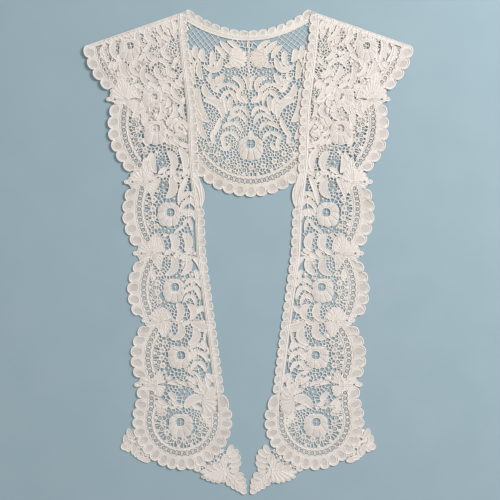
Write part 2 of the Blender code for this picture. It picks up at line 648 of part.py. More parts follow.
def front_outline():
    past = PAST_FOLD * TUCKED
    shoulder_tip = FOLD_ENDS[1] - PAST_FOLD * (FOLD_OUTER / SQUARE)
    outline = [crease_at(edge_column(FOLD_ROW) + EDGING) + past,
               shoulder_tip - ALONG_FOLD * SHOULDER_ROUND + past, shoulder_tip]
    for (first, last, bow, count), tip in zip(BAYS, BUDS):
        half = 0.5 / (count - 1)
        outline += scallops(bowed_line(first, last, bow, 40, half, half), count, WIDE_LOBE)
        outline += bud(*tip)
    line = round_line(MEDALLION, MEDALLION_TIPS, MEDALLION_TURN, 90)
    outline += scallops(line, MEDALLION_SCALLOPS, WIDE_LOBE)
    outline += [Vector(corner) for corner in FOOT_CORNERS]
    outline += [Vector((edge_column(FOOT_ROW) + EDGING, FOOT_CORD_ROW))]
    return outline + cord_line(FOOT_ROW, FOLD_ROW) + [crease_at(edge_column(FOLD_ROW) + EDGING)]


def inner_edging_outline():
    """The strip of small scallops along the inner edge of a front."""
    past = PAST_FOLD * TUCKED
    tips_top = crease_at(edge_column(FOLD_ROW) + SMALL_LOBE)
    cord_top = crease_at(edge_column(FOLD_ROW) + EDGING - SEAM)
    outline = cord_line(FOLD_ROW, FOOT_ROW, -SEAM)[::-1] + [cord_top, cord_top + past,
                                                            tips_top + past, tips_top]
    edge = []
    for first, last, count in INNER_SCALLOPS[::-1]:
        rows = np.linspace(last, first, 4 * count + 1)
        line = [Vector((edge_column(row), row)) for row in rows]
        edge += scallops(line, count, SMALL_LOBE, SMALL_CORNERS)[:-1]
    return outline + edge[::-1]


def front_ground():
    """The part of a front inside its ladders, where the gaps lie."""
    top = GROUND_TOP_ROW
    region = [Vector((edge_column(top) + EDGING + CORD_MARGIN, top)), Vector(GROUND_CORNER)]
    for first, last, bow in LADDERS:
        region += inward_of(bowed_line(first, last, bow, 9), LADDER_HALF)
    inside = MEDALLION_RINGS - LADDER_HALF - RING_MARGIN
    region += round_line(MEDALLION, inside, MEDALLION_TURN, 24)
    return region + cord_line(FOOT_ROW, top + 2 * CORD_MARGIN, CORD_MARGIN)


def front_lace():
    """The gaps of a front, and its raised motifs as pairs of a foot and a top outline."""
    leaves = [leaf(*row) for row in FRONT_LEAVES]
    for row in FRONT_ARCHES:
        leaves += arch(*row)
    flowers = [flower(*row[3:]) for row in FLOWERS]
    florets, eyelets = [], []
    for index in range(1, len(LADDERS)):
        some_florets, some_eyelets = ladder_fillings(bay_line(index), FILLED_EACH)
        florets += some_florets
        eyelets += some_eyelets
    ring = circle_line(MEDALLION, MEDALLION_RINGS, MEDALLION_FILLED)
    some_florets, some_eyelets = ladder_fillings(ring, MEDALLION_FILLINGS)
    florets += some_florets
    eyelets += some_eyelets
    closed = leaves + flowers + [disc(p.x, p.y, FLORET_RADIUS) for p in florets]
    closed += [disc(*wheel) for wheel in FRONT_WHEELS]
    closed += [disc(p.x, p.y, EYELET_RADIUS + BAR / SQUARE) for p in eyelets]
    named = [disc(p.x, p.y, EYELET_RADIUS, EYELET_CORNERS) for p in eyelets]
    named += [disc(*row[:3], EYE_CORNERS) for row in FLOWERS]
    region = front_ground()
    ground = ground_gaps(region, closed, ground_seeds(region, closed, GROUND_PITCH))
    gaps = named + largest_of_each(ground, FRONT_BANDS, FRONT_EACH)
    return gaps, [(body, drawn_in(body)) for body in flowers]


def back_outline():
    """The back, round from the middle of the neck."""
    neck = bowed_line((-NECK_CORD_END[0], NECK_CORD_END[1]), NECK_CORD_END, -NECK_CORD_DIP, 17)
    half = [p for p in neck if p.x > 1]
    shoulder = CREASE - PAST_FOLD * ((UNDERLAP + SEAM_GAP) / SQUARE)
    half += [shoulder + ALONG_FOLD * along for along in BACK_SHOULDER]
    half += [Vector(point) for point in HIDDEN_EDGE]
    turn = (90.0 - BIB_HALF_TURN, 90.0 + BIB_HALF_TURN)
    hem = scallops(round_line(BIB_CENTRE, BIB_TIPS, turn, 80), BIB_SCALLOPS, WIDE_LOBE)
    return half + hem + mirrored(half) + [Vector((0.0, neck[len(neck) // 2].y))]


def neck_edging_outline():
    """The strip of small scallops along the neck."""
    tips = bowed_line((-NECK_TIPS_END[0], NECK_TIPS_END[1]), NECK_TIPS_END, -NECK_TIPS_DIP, 80)
    cord = bowed_line((-NECK_CORD_END[0], NECK_CORD_END[1] - SEAM),
                      (NECK_CORD_END[0], NECK_CORD_END[1] - SEAM), -NECK_CORD_DIP, 17)
    return scallops(tips, NECK_SCALLOPS, SMALL_LOBE, SMALL_CORNERS) + cord[::-1]


def back_ground():
    """The part of the back that shows between the fronts, less its border."""
    neck = bowed_line((-BACK_GROUND_END[0], BACK_GROUND_END[1]), BACK_GROUND_END,
                      -NECK_CORD_DIP, 17)
    half = [p for p in neck if p.x > 1]
    half += [Vector((edge_column(row) - CORD_MARGIN / 2, row)) for row in SEEN_ROWS]
    half += round_line(BIB_CENTRE, BIB_RINGS - LADDER_HALF - RING_MARGIN, BIB_GROUND_TURN, 12)
    return half + mirrored(half)


def back_lace():
    """The gaps of the back, and its raised motif."""
    half = [leaf(*row) for row in BACK_LEAVES]
    for row in BACK_ARCHES:
        half += arch(*row)
    half += [disc(*wheel) for wheel in BACK_WHEELS]
    body = flower(*BIB_FLOWER[3:])
    florets, eyelets = ladder_fillings(circle_line(BIB_CENTRE, BIB_RINGS, BIB_FILLED), BIB_FILLINGS)
    closed = half + [mirrored(motif) for motif in half] + [body]
    closed += [disc(p.x, p.y, FLORET_RADIUS) for p in florets]
    closed += [disc(p.x, p.y, EYELET_RADIUS + BAR / SQUARE) for p in eyelets]
    named = [disc(p.x, p.y, EYELET_RADIUS, EYELET_CORNERS) for p in eyelets]
    named += [disc(*BIB_FLOWER[:3], EYE_CORNERS)]
    region = back_ground()
    diamonds = net_gaps(region, closed)
    closed += [disc(*middle_of(gap), NET_PITCH / math.sqrt(2), 4) for gap in diamonds]
    ground = ground_gaps(region, closed, ground_seeds(region, closed, GROUND_PITCH))
    gaps = named + diamonds + largest_of_each(ground, BACK_BANDS, BACK_EACH)
    return gaps, [(body, drawn_in(body))]


def net_gaps(region, motifs):
    """The diamonds of the regular net in both upper corners, where no motif lies on it."""
    col, row, half_width, half_height = NET
    turn = math.radians(NET_DEGREES)
    corners = (NET_DEGREES + 45, NET_DEGREES + 315)
    edges = edges_of(motifs + [region])
    diamonds = []
    for i in range(-NET_REACH, NET_REACH + 1):
        for j in range(-NET_REACH, NET_REACH + 1):
            x = NET_PITCH * (i * math.cos(turn) - j * math.sin(turn))
            y = NET_PITCH * (i * math.sin(turn) + j * math.cos(turn))
            reach = (NET_PITCH - BAR / SQUARE) / math.sqrt(2)
            gap = round_line(Vector((col + x, row + y)), reach, corners, 4)
            crossed = any(side_cuts(a, b, edges) for a, b in zip(gap, gap[1:] + gap[:1]))
            on_ground = covered(np.array([gap[0]]), region).all()
            on_motif = any(covered(np.array([gap[0]]), motif).any() for motif in motifs)
            in_net = (x / half_width) ** 2 + (y / half_height) ** 2 < 1
            if in_net and on_ground and not on_motif and not crossed:
                diamonds += [gap, mirrored(gap)]
    return diamonds


def spray(outline, turn, gaps):
    """A leaf spray beyond the medallion's scallops: its outline and its gaps."""
    foot = round_line(MEDALLION, MEDALLION_TIPS + SEAM * 1.1, turn, 10)
    return [Vector(p) for p in outline] + foot, [disc(*gap, EYELET_CORNERS) for gap in gaps]


def main():
    for item in list(bpy.data.objects):
        bpy.data.objects.remove(item, do_unlink=True)
    bpy.context.scene.collection.children.link(bpy.data.collections.new(COLLAR))
    thread = thread_material("lace_thread", THREAD)
    shaded = thread_material("lace_thread_in_two_layers", SHADED_THREAD)
    fine = thread_material("edging_thread", FINE_THREAD)

    gaps, raised = back_lace()
    lean = [(Vector((-180.0, row)), Vector((180.0, row))) for row in LEAN_ROWS]
    lace_plate("back_panel", back_outline(), gaps, raised, lay_on_surface, 1, lean, shaded)
    lace_plate("neck_edging", neck_edging_outline(), [], [], lay_on_surface, 1, [], fine)

    front, front_gaps, front_raised = (front_outline(), *front_lace())
    edging = inner_edging_outline()
    point, point_gaps = spray(POINT_SPRAY, SPRAY_TURN, SPRAY_GAPS)
    corner, corner_gaps = spray(CORNER_SPRIG, SPRIG_TURN, SPRIG_GAPS)
    for side, name in ((-1, "_left"), (1, "_right")):
        lace_plate("front" + name, front, front_gaps, front_raised, lay_over_back, side,
                   creases(), thread)
        lace_plate("inner_edging" + name, edging, [], [], lay_over_back, side, creases(), fine)
        lace_plate("point_spray" + name, point, point_gaps, [], lay_over_back, side, [], thread)
        lace_plate("corner_sprig" + name, corner, corner_gaps, [], lay_over_back, side, [], thread)


main()
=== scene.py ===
"""The looks of a lace collar laid flat: clothwork leaves and flowers with raised cords, ladders of
rings and scallops along the border, fillings, and a ground of fine bars between them.

Everything is drawn on the lace-maker's chart that the solids are cut from. Columns are counted
outward from the centre line and rows downward from the top, one square is 1.5 mm, and heights
are in metres above the underside of the cloth. A piece is drawn once, then laid on the left and
on the right.
"""

import math

import bpy
import numpy as np
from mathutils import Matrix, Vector
from mathutils.geometry import delaunay_2d_cdt
from mathutils.kdtree import KDTree


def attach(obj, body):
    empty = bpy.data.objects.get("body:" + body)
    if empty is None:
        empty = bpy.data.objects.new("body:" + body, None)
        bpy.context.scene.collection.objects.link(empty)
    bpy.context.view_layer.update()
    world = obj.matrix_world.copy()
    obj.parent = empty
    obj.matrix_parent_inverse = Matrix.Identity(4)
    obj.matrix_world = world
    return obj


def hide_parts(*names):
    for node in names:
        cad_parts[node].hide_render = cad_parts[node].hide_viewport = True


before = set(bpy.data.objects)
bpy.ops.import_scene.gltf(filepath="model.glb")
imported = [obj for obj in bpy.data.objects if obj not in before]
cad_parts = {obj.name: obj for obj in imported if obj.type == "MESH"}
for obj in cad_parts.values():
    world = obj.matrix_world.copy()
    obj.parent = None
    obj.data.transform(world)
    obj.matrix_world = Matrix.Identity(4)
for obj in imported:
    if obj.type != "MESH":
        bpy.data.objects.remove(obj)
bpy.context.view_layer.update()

# ---- The chart ----
SQUARE = 0.0015
MID_ROW = 251.926
WALL = 0.0012
SEAM_GAP = 0.0003
BACK_LEAN = 2.3
LEAN_ROWS = (60.0, 130.0)
LIFT = WALL + SEAM_GAP
FOLD_INNER = SEAM_GAP / 2
FOLD_MIDDLE = FOLD_INNER + WALL / 2
FOLD_OUTER = FOLD_INNER + WALL
FOLD_ENDS = np.array(((58.0, 9.5), (163.0, 46.0)))
ALONG_FOLD = (FOLD_ENDS[1] - FOLD_ENDS[0]) / np.linalg.norm(FOLD_ENDS[1] - FOLD_ENDS[0])
PAST_FOLD = np.array((ALONG_FOLD[1], -ALONG_FOLD[0]))
CREASE = FOLD_ENDS[0] - PAST_FOLD * (FOLD_OUTER / SQUARE)
WRAP = math.pi * FOLD_MIDDLE / SQUARE
UNDERLAP = 0.003
TUCKED = WRAP + UNDERLAP / SQUARE
RAMP_ROWS = (183.0, 211.0)
SWAY = 0.0009                 # how far the cloth rises and falls over the surface

# ---- The border, in squares ----
LADDER_HALF = 3.2
LADDER_REACH = 0.08           # how far a bay's ladder runs on past its first and last ring
SCALLOP_FOOT = LADDER_HALF + 0.3  # where the wide scallops start, outward of the rings
# Scallops: depth of their round end, radius of the rim's cord, half width of the ribs
WIDE_SCALLOP = (4.6, 0.62, 0.85)
INNER_SCALLOP = (2.6, 0.46, 0.6)
NECK_SCALLOP = (2.6, 0.5, 0.65)
WINDOW = (0.52, 0.38, 0.35)   # the gauze in a scallop: its middle, half height and half width
EDGING = 7.6                  # width of the inner edging
EDGING_CORD = EDGING - 1      # from the tips of the inner edging to its cord
EDGING_FOOT = EDGING - 1.2    # and to where its scallops start
# Wide scallops: first tip, last tip, bow of the line of tips, number of scallops, of fillings
BAYS = (
    ((164.3, 53), (145.6, 87.2), 2.8, 4, 0),
    ((138.6, 110.5), (123.6, 168.7), 7.6, 6, 4),
    ((123.1, 194), (117.6, 242), 5.4, 5, 4),
    ((114.9, 265.5), (116.6, 311), 5.3, 5, 4),
    ((110, 329.5), (114.8, 373), 5.2, 5, 4),
)
# Ladders of rings: first ring, last ring, bow
LADDERS = (
    ((149, 50), (133.5, 82), 2.4),
    ((123.5, 110), (110, 163.5), 6.5),
    ((106.3, 190), (101.5, 238), 5),
    ((98.5, 263), (100, 312), 5.6),
    ((93, 331), (97, 375), 5.4),
)
# Buds between the bays: column and row of the tip
BUDS = ((141.5, 99.5), (124, 182), (115, 253.5), (106.5, 320.5), (113.8, 384.7))
# Round borders: centre, radius of the rings and of the tips, degrees that they turn through,
# number of scallops, degrees that the fillings turn through and their number
MEDALLION = ((66, 420), 33.3, 49.9, (-27, 193), 18, (-34, 196), 8)
BIB = ((0, 121.4), 60.2, 75.6, (31.5, 148.5), 13, (22, 158), 9)
MEDALLION_LEAD = (96.6, 390)  # where its ladder starts, above the round part
# Single scallops beside the medallion's: ends of their cord, then of their line of tips
SINGLE_SCALLOPS = (
    (((30.6, 411.6), (31.6, 393.6)), ((17.8, 409), (22.6, 393.6))),
    (((100.2, 389), (99, 403)), ((110.6, 386.6), (112, 397.4))),
)
# The strip that wraps the shoulder: where it starts short of the crease, how far it runs along
FOLD_STRIP = (-3.6, 108.5)
FOLD_CORDS = (-3.2, 0.4)
# The top of the ground of a front: how far it runs along the crease, then its outer corner
GROUND_ALONG = 92
GROUND_CORNER = (152.5, 45.5)
TOP_ROW = 12
FOOT_ROW = 393
# The inner edge of a front: some rows and its columns there
INNER_EDGE_ROWS = (9, 20, 60, 110, 168, 190, 212, 252, 268, 300, 345, 393)
INNER_EDGE_COLS = (61.8, 61.6, 58, 51.7, 49.7, 46.8, 44, 42.5, 40.4, 36, 30, 24.2)
# Scallops of the inner edging: first row, last row, number
INNER_SCALLOPS = (
    (14.5, 172, 17), (172, 208, 1), (208, 256, 5), (256, 264, 1), (264, 320, 6), (320, 393, 8),
)
# Lines along the neck: column and row of the end, dip at the middle
NECK_CORD = (61, 19, 19.5)
NECK_EDGING_CORD = (61, 17.6, 19.5)
NECK_TIPS = (60.5, 8.6, 22.2)
NECK_SCALLOPS = 14
# The back's outline under a front: its ends along the crease, then its points
BACK_SHOULDER = (5.4, 96)
HIDDEN_EDGE = (
    (150, 50.5), (141, 75), (130, 97), (118, 120), (99, 142), (76, 150), (62, 160),
)

# ---- Motifs of a front ----
# Large flowers: eye column and row, eye radius, body column and row, half width, half height
FLOWERS = (
    (118, 46, 3.6, 118.5, 49.5, 10.5, 10.5), (94, 97, 3.4, 96, 98, 9.5, 9),
    (92, 128.5, 4, 93, 133, 11, 12), (77.8, 212.5, 4.2, 79.5, 214.6, 11.1, 11.9),
    (73.2, 287.1, 4.1, 74.5, 290.7, 10.6, 11.8), (67.2, 355.2, 4.2, 69.5, 357.5, 10.8, 11),
    (68, 422, 4.2, 67.5, 425.5, 12, 11.5),
)
# Leaves: stem column and row, tip column and row, width, bow as a share of length
FRONT_LEAVES = (
    (109, 28, 104, 47, 6, 0.25), (133, 39, 130, 60, 7, 0.2), (145, 46, 138, 62, 6, 0.2),
    (101, 27, 93, 43, 6, 0.25), (90, 23, 82, 37, 5, 0.2), (77, 20, 75, 34, 5, -0.2),
    (86, 47, 76, 60, 5, 0.2), (101, 52, 88, 60, 6, 0.2), (126, 60, 117, 78, 7, 0.2),
    (117, 62, 106, 76, 5, 0.25), (104, 66, 99, 86, 6, 0.2), (92, 66, 84, 80, 6, 0.2),
    (80, 64, 72, 78, 5, 0.25), (128, 80, 118, 98, 8, 0.1), (115, 84, 108, 98, 7, 0.15),
    (75, 84, 68, 100, 5, 0.2), (88, 86, 80, 100, 6, 0.2), (99.5, 92, 98.5, 112, 6, -0.1),
    (112, 101, 116, 118, 7, -0.2), (88, 104, 92, 120, 7, -0.3), (75, 104, 79, 118, 6, -0.3),
    (66, 104, 63, 118, 4, 0.2), (74, 124, 64, 132, 4, 0.2), (75, 134, 63, 144, 4, 0.2),
    (81, 151.5, 77.5, 172.5, 8, -0.25), (69.5, 148, 64.5, 172, 7, -0.15),
    (94, 154, 92, 173, 7, 0.15), (103, 158, 99, 174, 6, 0.1), (78.5, 178, 82.5, 198, 9, -0.28),
    (60.5, 176, 69.5, 205, 5.2, 0.06), (88, 179, 96, 197, 7, 0.15), (100, 178, 101, 194, 5, 0.1),
    (57, 176, 47.5, 207, 5.5, -0.16), (54.7, 212.6, 66, 212.6, 4.4, -0.15),
    (62, 224.5, 74.5, 234, 3.2, 0.05), (65.5, 234, 63.5, 251, 8.6, -0.3),
    (78.5, 234.5, 77, 251, 9, -0.3), (88, 237, 84, 250.5, 6, 0.1), (97, 240, 94, 251, 5, 0.1),
    (76.5, 256.5, 83.5, 275, 8.2, -0.33), (61.5, 256, 67.5, 275, 7.2, -0.25),
    (87, 255, 87.5, 270, 5.5, 0.15), (56, 257, 46.6, 275, 5.4, -0.16),
    (72, 303, 72.5, 321, 7.6, -0.28), (61, 304.5, 58.5, 320, 7.4, -0.35),
    (86, 307, 80, 320, 6.5, 0.1), (95, 312, 89, 321, 5, 0.1), (69.5, 323, 77, 339, 8, -0.38),
    (54, 327, 60.5, 344, 8.6, -0.3), (84, 322, 82.5, 337, 5.5, 0.15),
    (57, 321.5, 36, 327, 8.6, 0.14), (42, 330, 43, 341, 3, 0.1), (40, 389, 43.5, 376, 4.4, 0.1),
    (57, 371, 49, 389, 2.8, -0.25), (55.5, 381, 63, 378, 4, 0.2), (62, 386, 70, 383, 4, 0.2),
    (71.5, 384.5, 81, 383, 3.6, 0.1), (72, 400.5, 80, 392.5, 6, 0.05),
    (71.5, 406, 79.5, 406, 3.2, -0.2), (50, 382, 41, 399, 8, -0.1), (45, 399, 63, 408.5, 10, 0.22),
    (92, 378, 89, 396, 6, 0.15), (59, 366, 54, 375, 3.6, 0.2), (36, 386, 34, 397, 4, 0.1),
)
# Where the ground of a front is left open: middle column and row, half width and height
FRONT_OPEN = (
    (73, 25, 3.7, 6.2), (75, 46, 6.2, 9.2), (79, 58, 5.2, 8.2), (87, 61, 6.2, 5.2),
    (88, 33, 5.7, 5.2), (95, 39, 4.2, 4.2), (107, 42, 3.4, 6.2), (118, 46, 4.2, 7.2),
    (96, 49, 7.2, 3.7), (96, 66, 7.2, 6.2), (104, 76, 7.2, 7.2), (90, 75, 4.7, 5.2),
    (108, 84, 5.2, 5.2), (69, 74, 5.2, 7.2), (66, 94, 5.2, 6.2), (93, 97, 6.2, 8.2),
    (105, 99, 5.2, 3.2), (132, 48, 5.2, 6.2), (136, 60, 4.2, 5.2), (65, 112, 6.2, 8.2),
    (72, 108, 4.2, 3.7), (83, 118, 4.2, 4.2), (96, 112, 4.2, 4.2), (67, 141, 4.2, 5.2),
    (88, 147, 7, 5), (77, 151, 7.2, 6.2), (71, 161, 4.2, 11.2), (98, 149, 7, 5), (86, 162, 7, 10),
    (109, 173, 5.2, 6.2), (113, 136, 9, 27), (57, 187, 6, 8), (71, 189, 3, 9), (85, 188, 6, 10),
    (76, 199, 12, 5), (69, 200, 3, 10), (60, 207, 9, 5), (60, 215, 9, 4), (57, 228, 7, 14),
    (66, 226, 6, 8), (79, 230, 12, 5), (66, 243, 3.5, 9), (80, 243, 4, 9), (54, 243, 3, 10),
    (95, 213, 9, 24), (54, 265, 5, 6), (69, 266, 3.5, 8), (82, 266, 5, 10), (75, 276, 13, 4.5),
    (62, 283, 4, 8), (48, 295, 3.5, 12), (55, 297, 9, 10), (68, 303, 8, 5), (62, 312, 4, 7),
    (75, 311, 5, 8), (85, 302, 8, 6), (91, 288, 9, 24), (46, 316, 3.5, 4), (45, 332, 3, 5),
    (61, 332, 4.5, 9), (74, 329, 5, 7), (71, 342, 13, 5), (47, 345, 6, 6), (45, 366, 6, 14),
    (57, 360, 3, 8), (70, 374, 13, 6), (88, 352, 9, 22), (57, 374, 5, 6), (38, 389, 3.5, 5),
    (47, 386, 5, 5), (62, 392, 10, 7), (78, 388, 9, 6), (84, 397, 4, 6), (66, 399, 4, 4),
    (66, 428, 28, 20.5), (52, 414, 5, 7), (78, 414, 7, 8),
)
# Bands of leaflets: last row, degrees that they lean
FRONT_BANDS = (
    (44, 35), (70, -40), (98, 62), (126, -25), (150, 50), (175, -60), (215, 30), (262, -45),
    (300, 35), (330, -50), (372, 30), (460, 60),
)
# Arches of two leaves: apex column and row, left foot, right foot (from the apex), width
FRONT_ARCHES = (
    (58, 193, -7.5, 12, 9, 8, 4.6), (58.5, 201, -8, 12, 9.5, 12, 4.8),
    (60, 210.5, -7.5, 11, 7, 6, 4.6), (60, 220.5, -3.5, 11.5, 4.5, 5.5, 3.8),
    (54.5, 279.5, -7, 8, 8.5, 6, 4.6), (55, 287.5, -7, 13, 8, 6, 4.8),
    (57.5, 295.5, -5, 10, 6.5, 7, 4.4), (51, 344.5, -8, 6, 7, 5.5, 4.6),
    (50, 352.5, -9, 10, 8, 9, 4.8), (50.5, 362.5, -8, 10, 6, 8, 4.6), (64, 74, -3, 9, 5, 8, 3.6),
    (66, 122, -5, 9, 6, 8, 4), (90, 60, -9, 8, 8, 9, 4.6), (99, 100, -9, 9, 9, 10, 5),
)
# The shell where the inner cord meets the medallion: where it is tied, its edge, its ribs
FOOT_SHELL = ((47, 400), ((41, 387.5), (34, 388), (31.4, 394), (31.6, 402), (32.4, 412),
                          (40, 415.5), (46, 412)), 7)
# Spider wheels: column, row, radius
FRONT_WHEELS = (
    (64, 392, 4.6), (84.5, 387, 4.4), (79.6, 414, 4.6), (97, 120, 3.6), (74.2, 199, 4.6),
    (85.3, 185.3, 4.4), (79.9, 231.2, 3.8), (86, 162.5, 4.6), (72, 276, 4.2), (66.5, 345, 4),
    (84, 302, 4), (88, 228, 4), (80, 368, 4), (108, 66, 3.8), (84, 112, 3.6),
)

# ---- Motifs of half the back, counted from its own centre ----
BIB_FLOWER = (0, 143.8, 4.5, 0, 148.4, 12.4, 12)
BACK_LEAVES = (
    (9, 49.5, 21, 41, 4.4, 0.05), (16, 55, 28.5, 42, 5.2, 0.05), (23.5, 58.5, 33.5, 46, 4.6, 0.1),
    (36.6, 51, 38.2, 66.5, 5.2, -0.1), (45.5, 49, 43, 62, 5.8, 0.2), (52.5, 46, 50, 59, 5.2, 0.2),
    (58, 50, 55, 63, 4.4, 0.15), (27, 57, 45.8, 65, 5.8, -0.45), (25.5, 73.5, 43.4, 77, 5.8, -0.42),
    (31.5, 61.5, 33, 68, 3, 0.1), (30.5, 76, 33, 83, 3, 0.1), (38, 72.5, 38, 80, 3.2, 0.1),
    (49, 62.5, 47, 80, 5, 0.1), (56, 66, 54, 84, 4.6, 0.1), (17, 78, 8, 92, 5, -0.3),
    (6.5, 76, 1.8, 90, 4, -0.2), (9, 88, 4, 103, 4.4, 0.28), (18.2, 97, 20.4, 111, 4.8, 0.05),
    (51, 88, 41, 122, 10.5, 0.2), (46, 100.5, 27.5, 119, 7.2, -0.28), (30, 118, 40, 138, 4.4, -0.05),
    (27, 97, 24, 114, 4.4, -0.12), (55.5, 108, 52, 134, 5.4, -0.1), (50, 126, 44, 139, 5.4, 0.1),
    (45, 84, 34, 98, 6, 0.25), (37, 82, 30, 92, 4, 0.2), (31, 147.5, 20, 142, 4, 0.35),
    (30, 136, 27, 149, 4, -0.1), (3, 104, 9, 97, 3.6, 0.25), (38, 131, 36, 144, 4, 0.1),
    (14, 60, 24, 66, 5, -0.2), (11, 93, 18, 86, 3.6, 0.2),
)
BACK_ARCHES = (
    (22.5, 84.5, -10, 7.5, 11, 8.5, 4.2), (19.5, 92, -6.5, 13, 9.5, 12, 4.4),
    (9.5, 107.5, -7.5, 10, 10.5, 9, 4.4), (12.5, 114.5, -9, 11, 10, 7.5, 4.4),
    (17, 123.3, -8, 8.5, 11, 6, 4.2), (20.5, 132.8, -8, 9, 9.5, 7.5, 4.2),
)
BACK_WHEELS = (
    (20.8, 71.5, 3.6), (14, 72.5, 3.8), (14.5, 80, 3.4), (20.6, 79, 3.4), (46.8, 123.8, 3.8),
)
# The shells at the centre: where the ribs are tied, then their round outer end
BACK_SHELL = ((20.5, 56.5), ((17.5, 48.5), (8, 48), (1.6, 53), (1.4, 62), (5, 67.5),
                             (12, 69), (19, 64.5)))
# Where the back is left open between the fronts. Under them it is open where they are
BACK_OPEN = ((0, 95, 55, 80), (0, 150, 58, 30), (48, 34, 20, 18), (-48, 34, 20, 18))
# The diamond net in the upper corners: its middle, half size, pitch and turn
NET = np.array((45, 38.5))
NET_HALF = np.array((17.5, 12))
NET_PITCH = 4.1
NET_DEGREES = 38
NET_REACH = 7
# The hidden part of the back has the first leaves of the fronts, moved, and their gaps
HIDDEN_LEAVES = 29
HIDDEN_SHIFT = (0.8, 1.6)
HIDDEN_ROWS = 160
HIDDEN_LESS = 0.6             # how much smaller its gaps are
BACK_WIDER = 1.15             # the back's leaves are wider than in their table

# ---- Leaf sprays: stem column and row, tip column and row, width, bow ----
# All their leaves: factor of the width, rim, where they are widest, bluntness
SPRAY_LEAF = (1.25, 0.38, 0.62, 0.46)
POINT_SPRAY = (
    (22, 453.5, 16.4, 444.6, 4.6, 0.1), (20.5, 456.5, 11, 449.4, 5.4, 0.12),
    (20, 461, 8.6, 455.2, 5.8, 0.12), (19.5, 466, 8.2, 460.8, 5.8, 0.12),
    (18.5, 471, 10.4, 466.8, 5.6, 0.12), (16.5, 476, 5.4, 473.6, 5.8, 0.15),
    (13.5, 480.5, 3, 479, 5.8, 0.15), (11, 484.5, 2, 485.2, 5.6, 0.1),
    (10.5, 483.5, 2.2, 493.2, 5.4, 0.05), (12.5, 481.5, 9.6, 491.2, 5.8, -0.1),
    (15, 478.5, 15.2, 488.8, 5.8, -0.1), (18.5, 473, 20.6, 485.4, 6, -0.12),
    (23.5, 467.5, 20.6, 454.6, 6.4, -0.12), (25, 470, 28, 461.4, 5, 0.1),
    (28.5, 471, 35, 463, 5, 0.1), (33.5, 471.5, 41.5, 466.4, 4.6, 0.1),
    (24.5, 454.5, 17.5, 479, 3.4, 0.1), (21, 470, 8, 487.5, 3.2, 0.08),
)
POINT_FAN = ((23.5, 467), ((21.5, 481.5), (30.5, 483.4), (37, 481.6), (43, 479.6),
                             (48.6, 476)), 5)
POINT_EDGE = (
    (20, 446), (12, 450), (9.5, 457), (10.5, 465), (13, 471), (7, 475), (4, 480), (3, 487), (4, 492),
    (9, 489), (14, 487), (20, 483), (24, 478.5), (30, 480), (37, 479), (43, 477), (49, 473),
    (53, 466.6), (44.7, 463.8), (38.9, 460.6), (33.5, 456.4), (28.8, 451.6), (25.3, 446.6),
)
POINT_GAPS = ((23.5, 450.5, 2.6, 3.4), (28.5, 456.5, 3.2, 3), (34, 460.6, 2.6, 2.4),
              (39.6, 464.6, 2.4, 2), (46, 467.6, 2.4, 1.8))
CORNER_SPRIG = (
    (104, 458.6, 110.5, 454.5, 4.4, -0.15), (110, 456.6, 98, 460.4, 4.2, 0.06),
    (109, 450, 112, 457, 4.6, 0.1), (118, 443.5, 115, 454.8, 5, -0.2),
    (117.5, 446.4, 121, 451.4, 4.2, 0.1), (117.4, 445.6, 127.2, 447.8, 5.8, 0.05),
    (118, 446.5, 121.6, 434.6, 5, -0.2), (113, 438, 119.6, 428.4, 4.8, -0.2),
)
CORNER_EDGE = (
    (106, 436), (111, 430.5), (116, 428.5), (119.4, 431), (121, 438), (120.6, 444), (119.4, 449),
    (116, 453.5), (111, 455.5), (108.5, 458.5), (100, 459.6), (98, 456), (101, 448),
)
CORNER_GAPS = ((112.7, 438.3, 1.8, 1.8), (107.7, 449, 2, 1.6), (103.5, 455.2, 1.8, 1.4))
# The small flower on the point spray: middle, eye, radius, lobes and their depth, sides, knot
SPRAY_FLOWER = ((51, 468.4), 0.9, 4, 6, 0.18, 24, 0.9)

# ---- Fillings inward of the ladders ----
FLORET_IN = 13.7
FLORET_RADIUS = 3.5
EYELET_IN = 10.8
EYELET_RADIUS = 2.5
FILLED = (0.09, 0.91)         # the part of a bay's ladder that has them
TIED = LADDER_HALF + 1.8      # where their wedges are tied
FLORET_WEDGE = 0.55
EYELET_WEDGE = 1.9

# ---- Heights above the underside, in metres ----
BAR_LEVEL = 0.00035
CLOTH_LEVEL = 0.00045
GAUZE_LEVEL = CLOTH_LEVEL - 0.0001
CLOSE_LEVEL = CLOTH_LEVEL - 0.0002
VEIN_LEVEL = CLOTH_LEVEL + 0.0002
WINDOW_LEVEL = CLOTH_LEVEL + 0.0003
SEAM_LEVEL = CLOTH_LEVEL + 0.0004
RIB_LEVEL = CLOTH_LEVEL + 0.0006
EYE_LEVEL = CLOTH_LEVEL + 0.0007
CLOTH_THICKNESS = 0.00025
DOME = 0.00045
FLOWER_DOME = 0.0008
CORD_LEVEL = 0.0006
RING_LEVEL = CORD_LEVEL - 0.0001
RIM_LEVEL = CORD_LEVEL + 0.0001
SCALLOP_LEVEL = CORD_LEVEL + 0.00015
PETAL_LEVEL = CORD_LEVEL + 0.0002
BUD_LEVEL = CORD_LEVEL + 0.0003
STITCH_LEVEL = CORD_LEVEL + 0.0006
KNOT_HEIGHT = 0.55            # a knot's height as a share of its width

# ---- Sizes of threads and cells, in squares. A thread's size is its radius ----
LADDER_CORD = 0.52
EDGE_CORD = 0.5
RIM_CORD = 0.42
THIN_RIM = 0.34
FAN_RIM = 0.4
FINE = 0.2                    # veins, ribs of the shells and spokes
NET_BAR = 0.26
RING_HALF = 2.25
RING_STRETCH = 1.12
RING_PITCH = 5.5
CORD_STEP = 1.6               # between the points of a cord along a line
STRIP_STEP = 2.4              # and of a strip
UNEVEN = 0.05                 # how far a thread strays
CELL_GRID = 0.7               # the fine grid over what the motifs leave free
BATCH = 4000                  # points that are looked up at a time
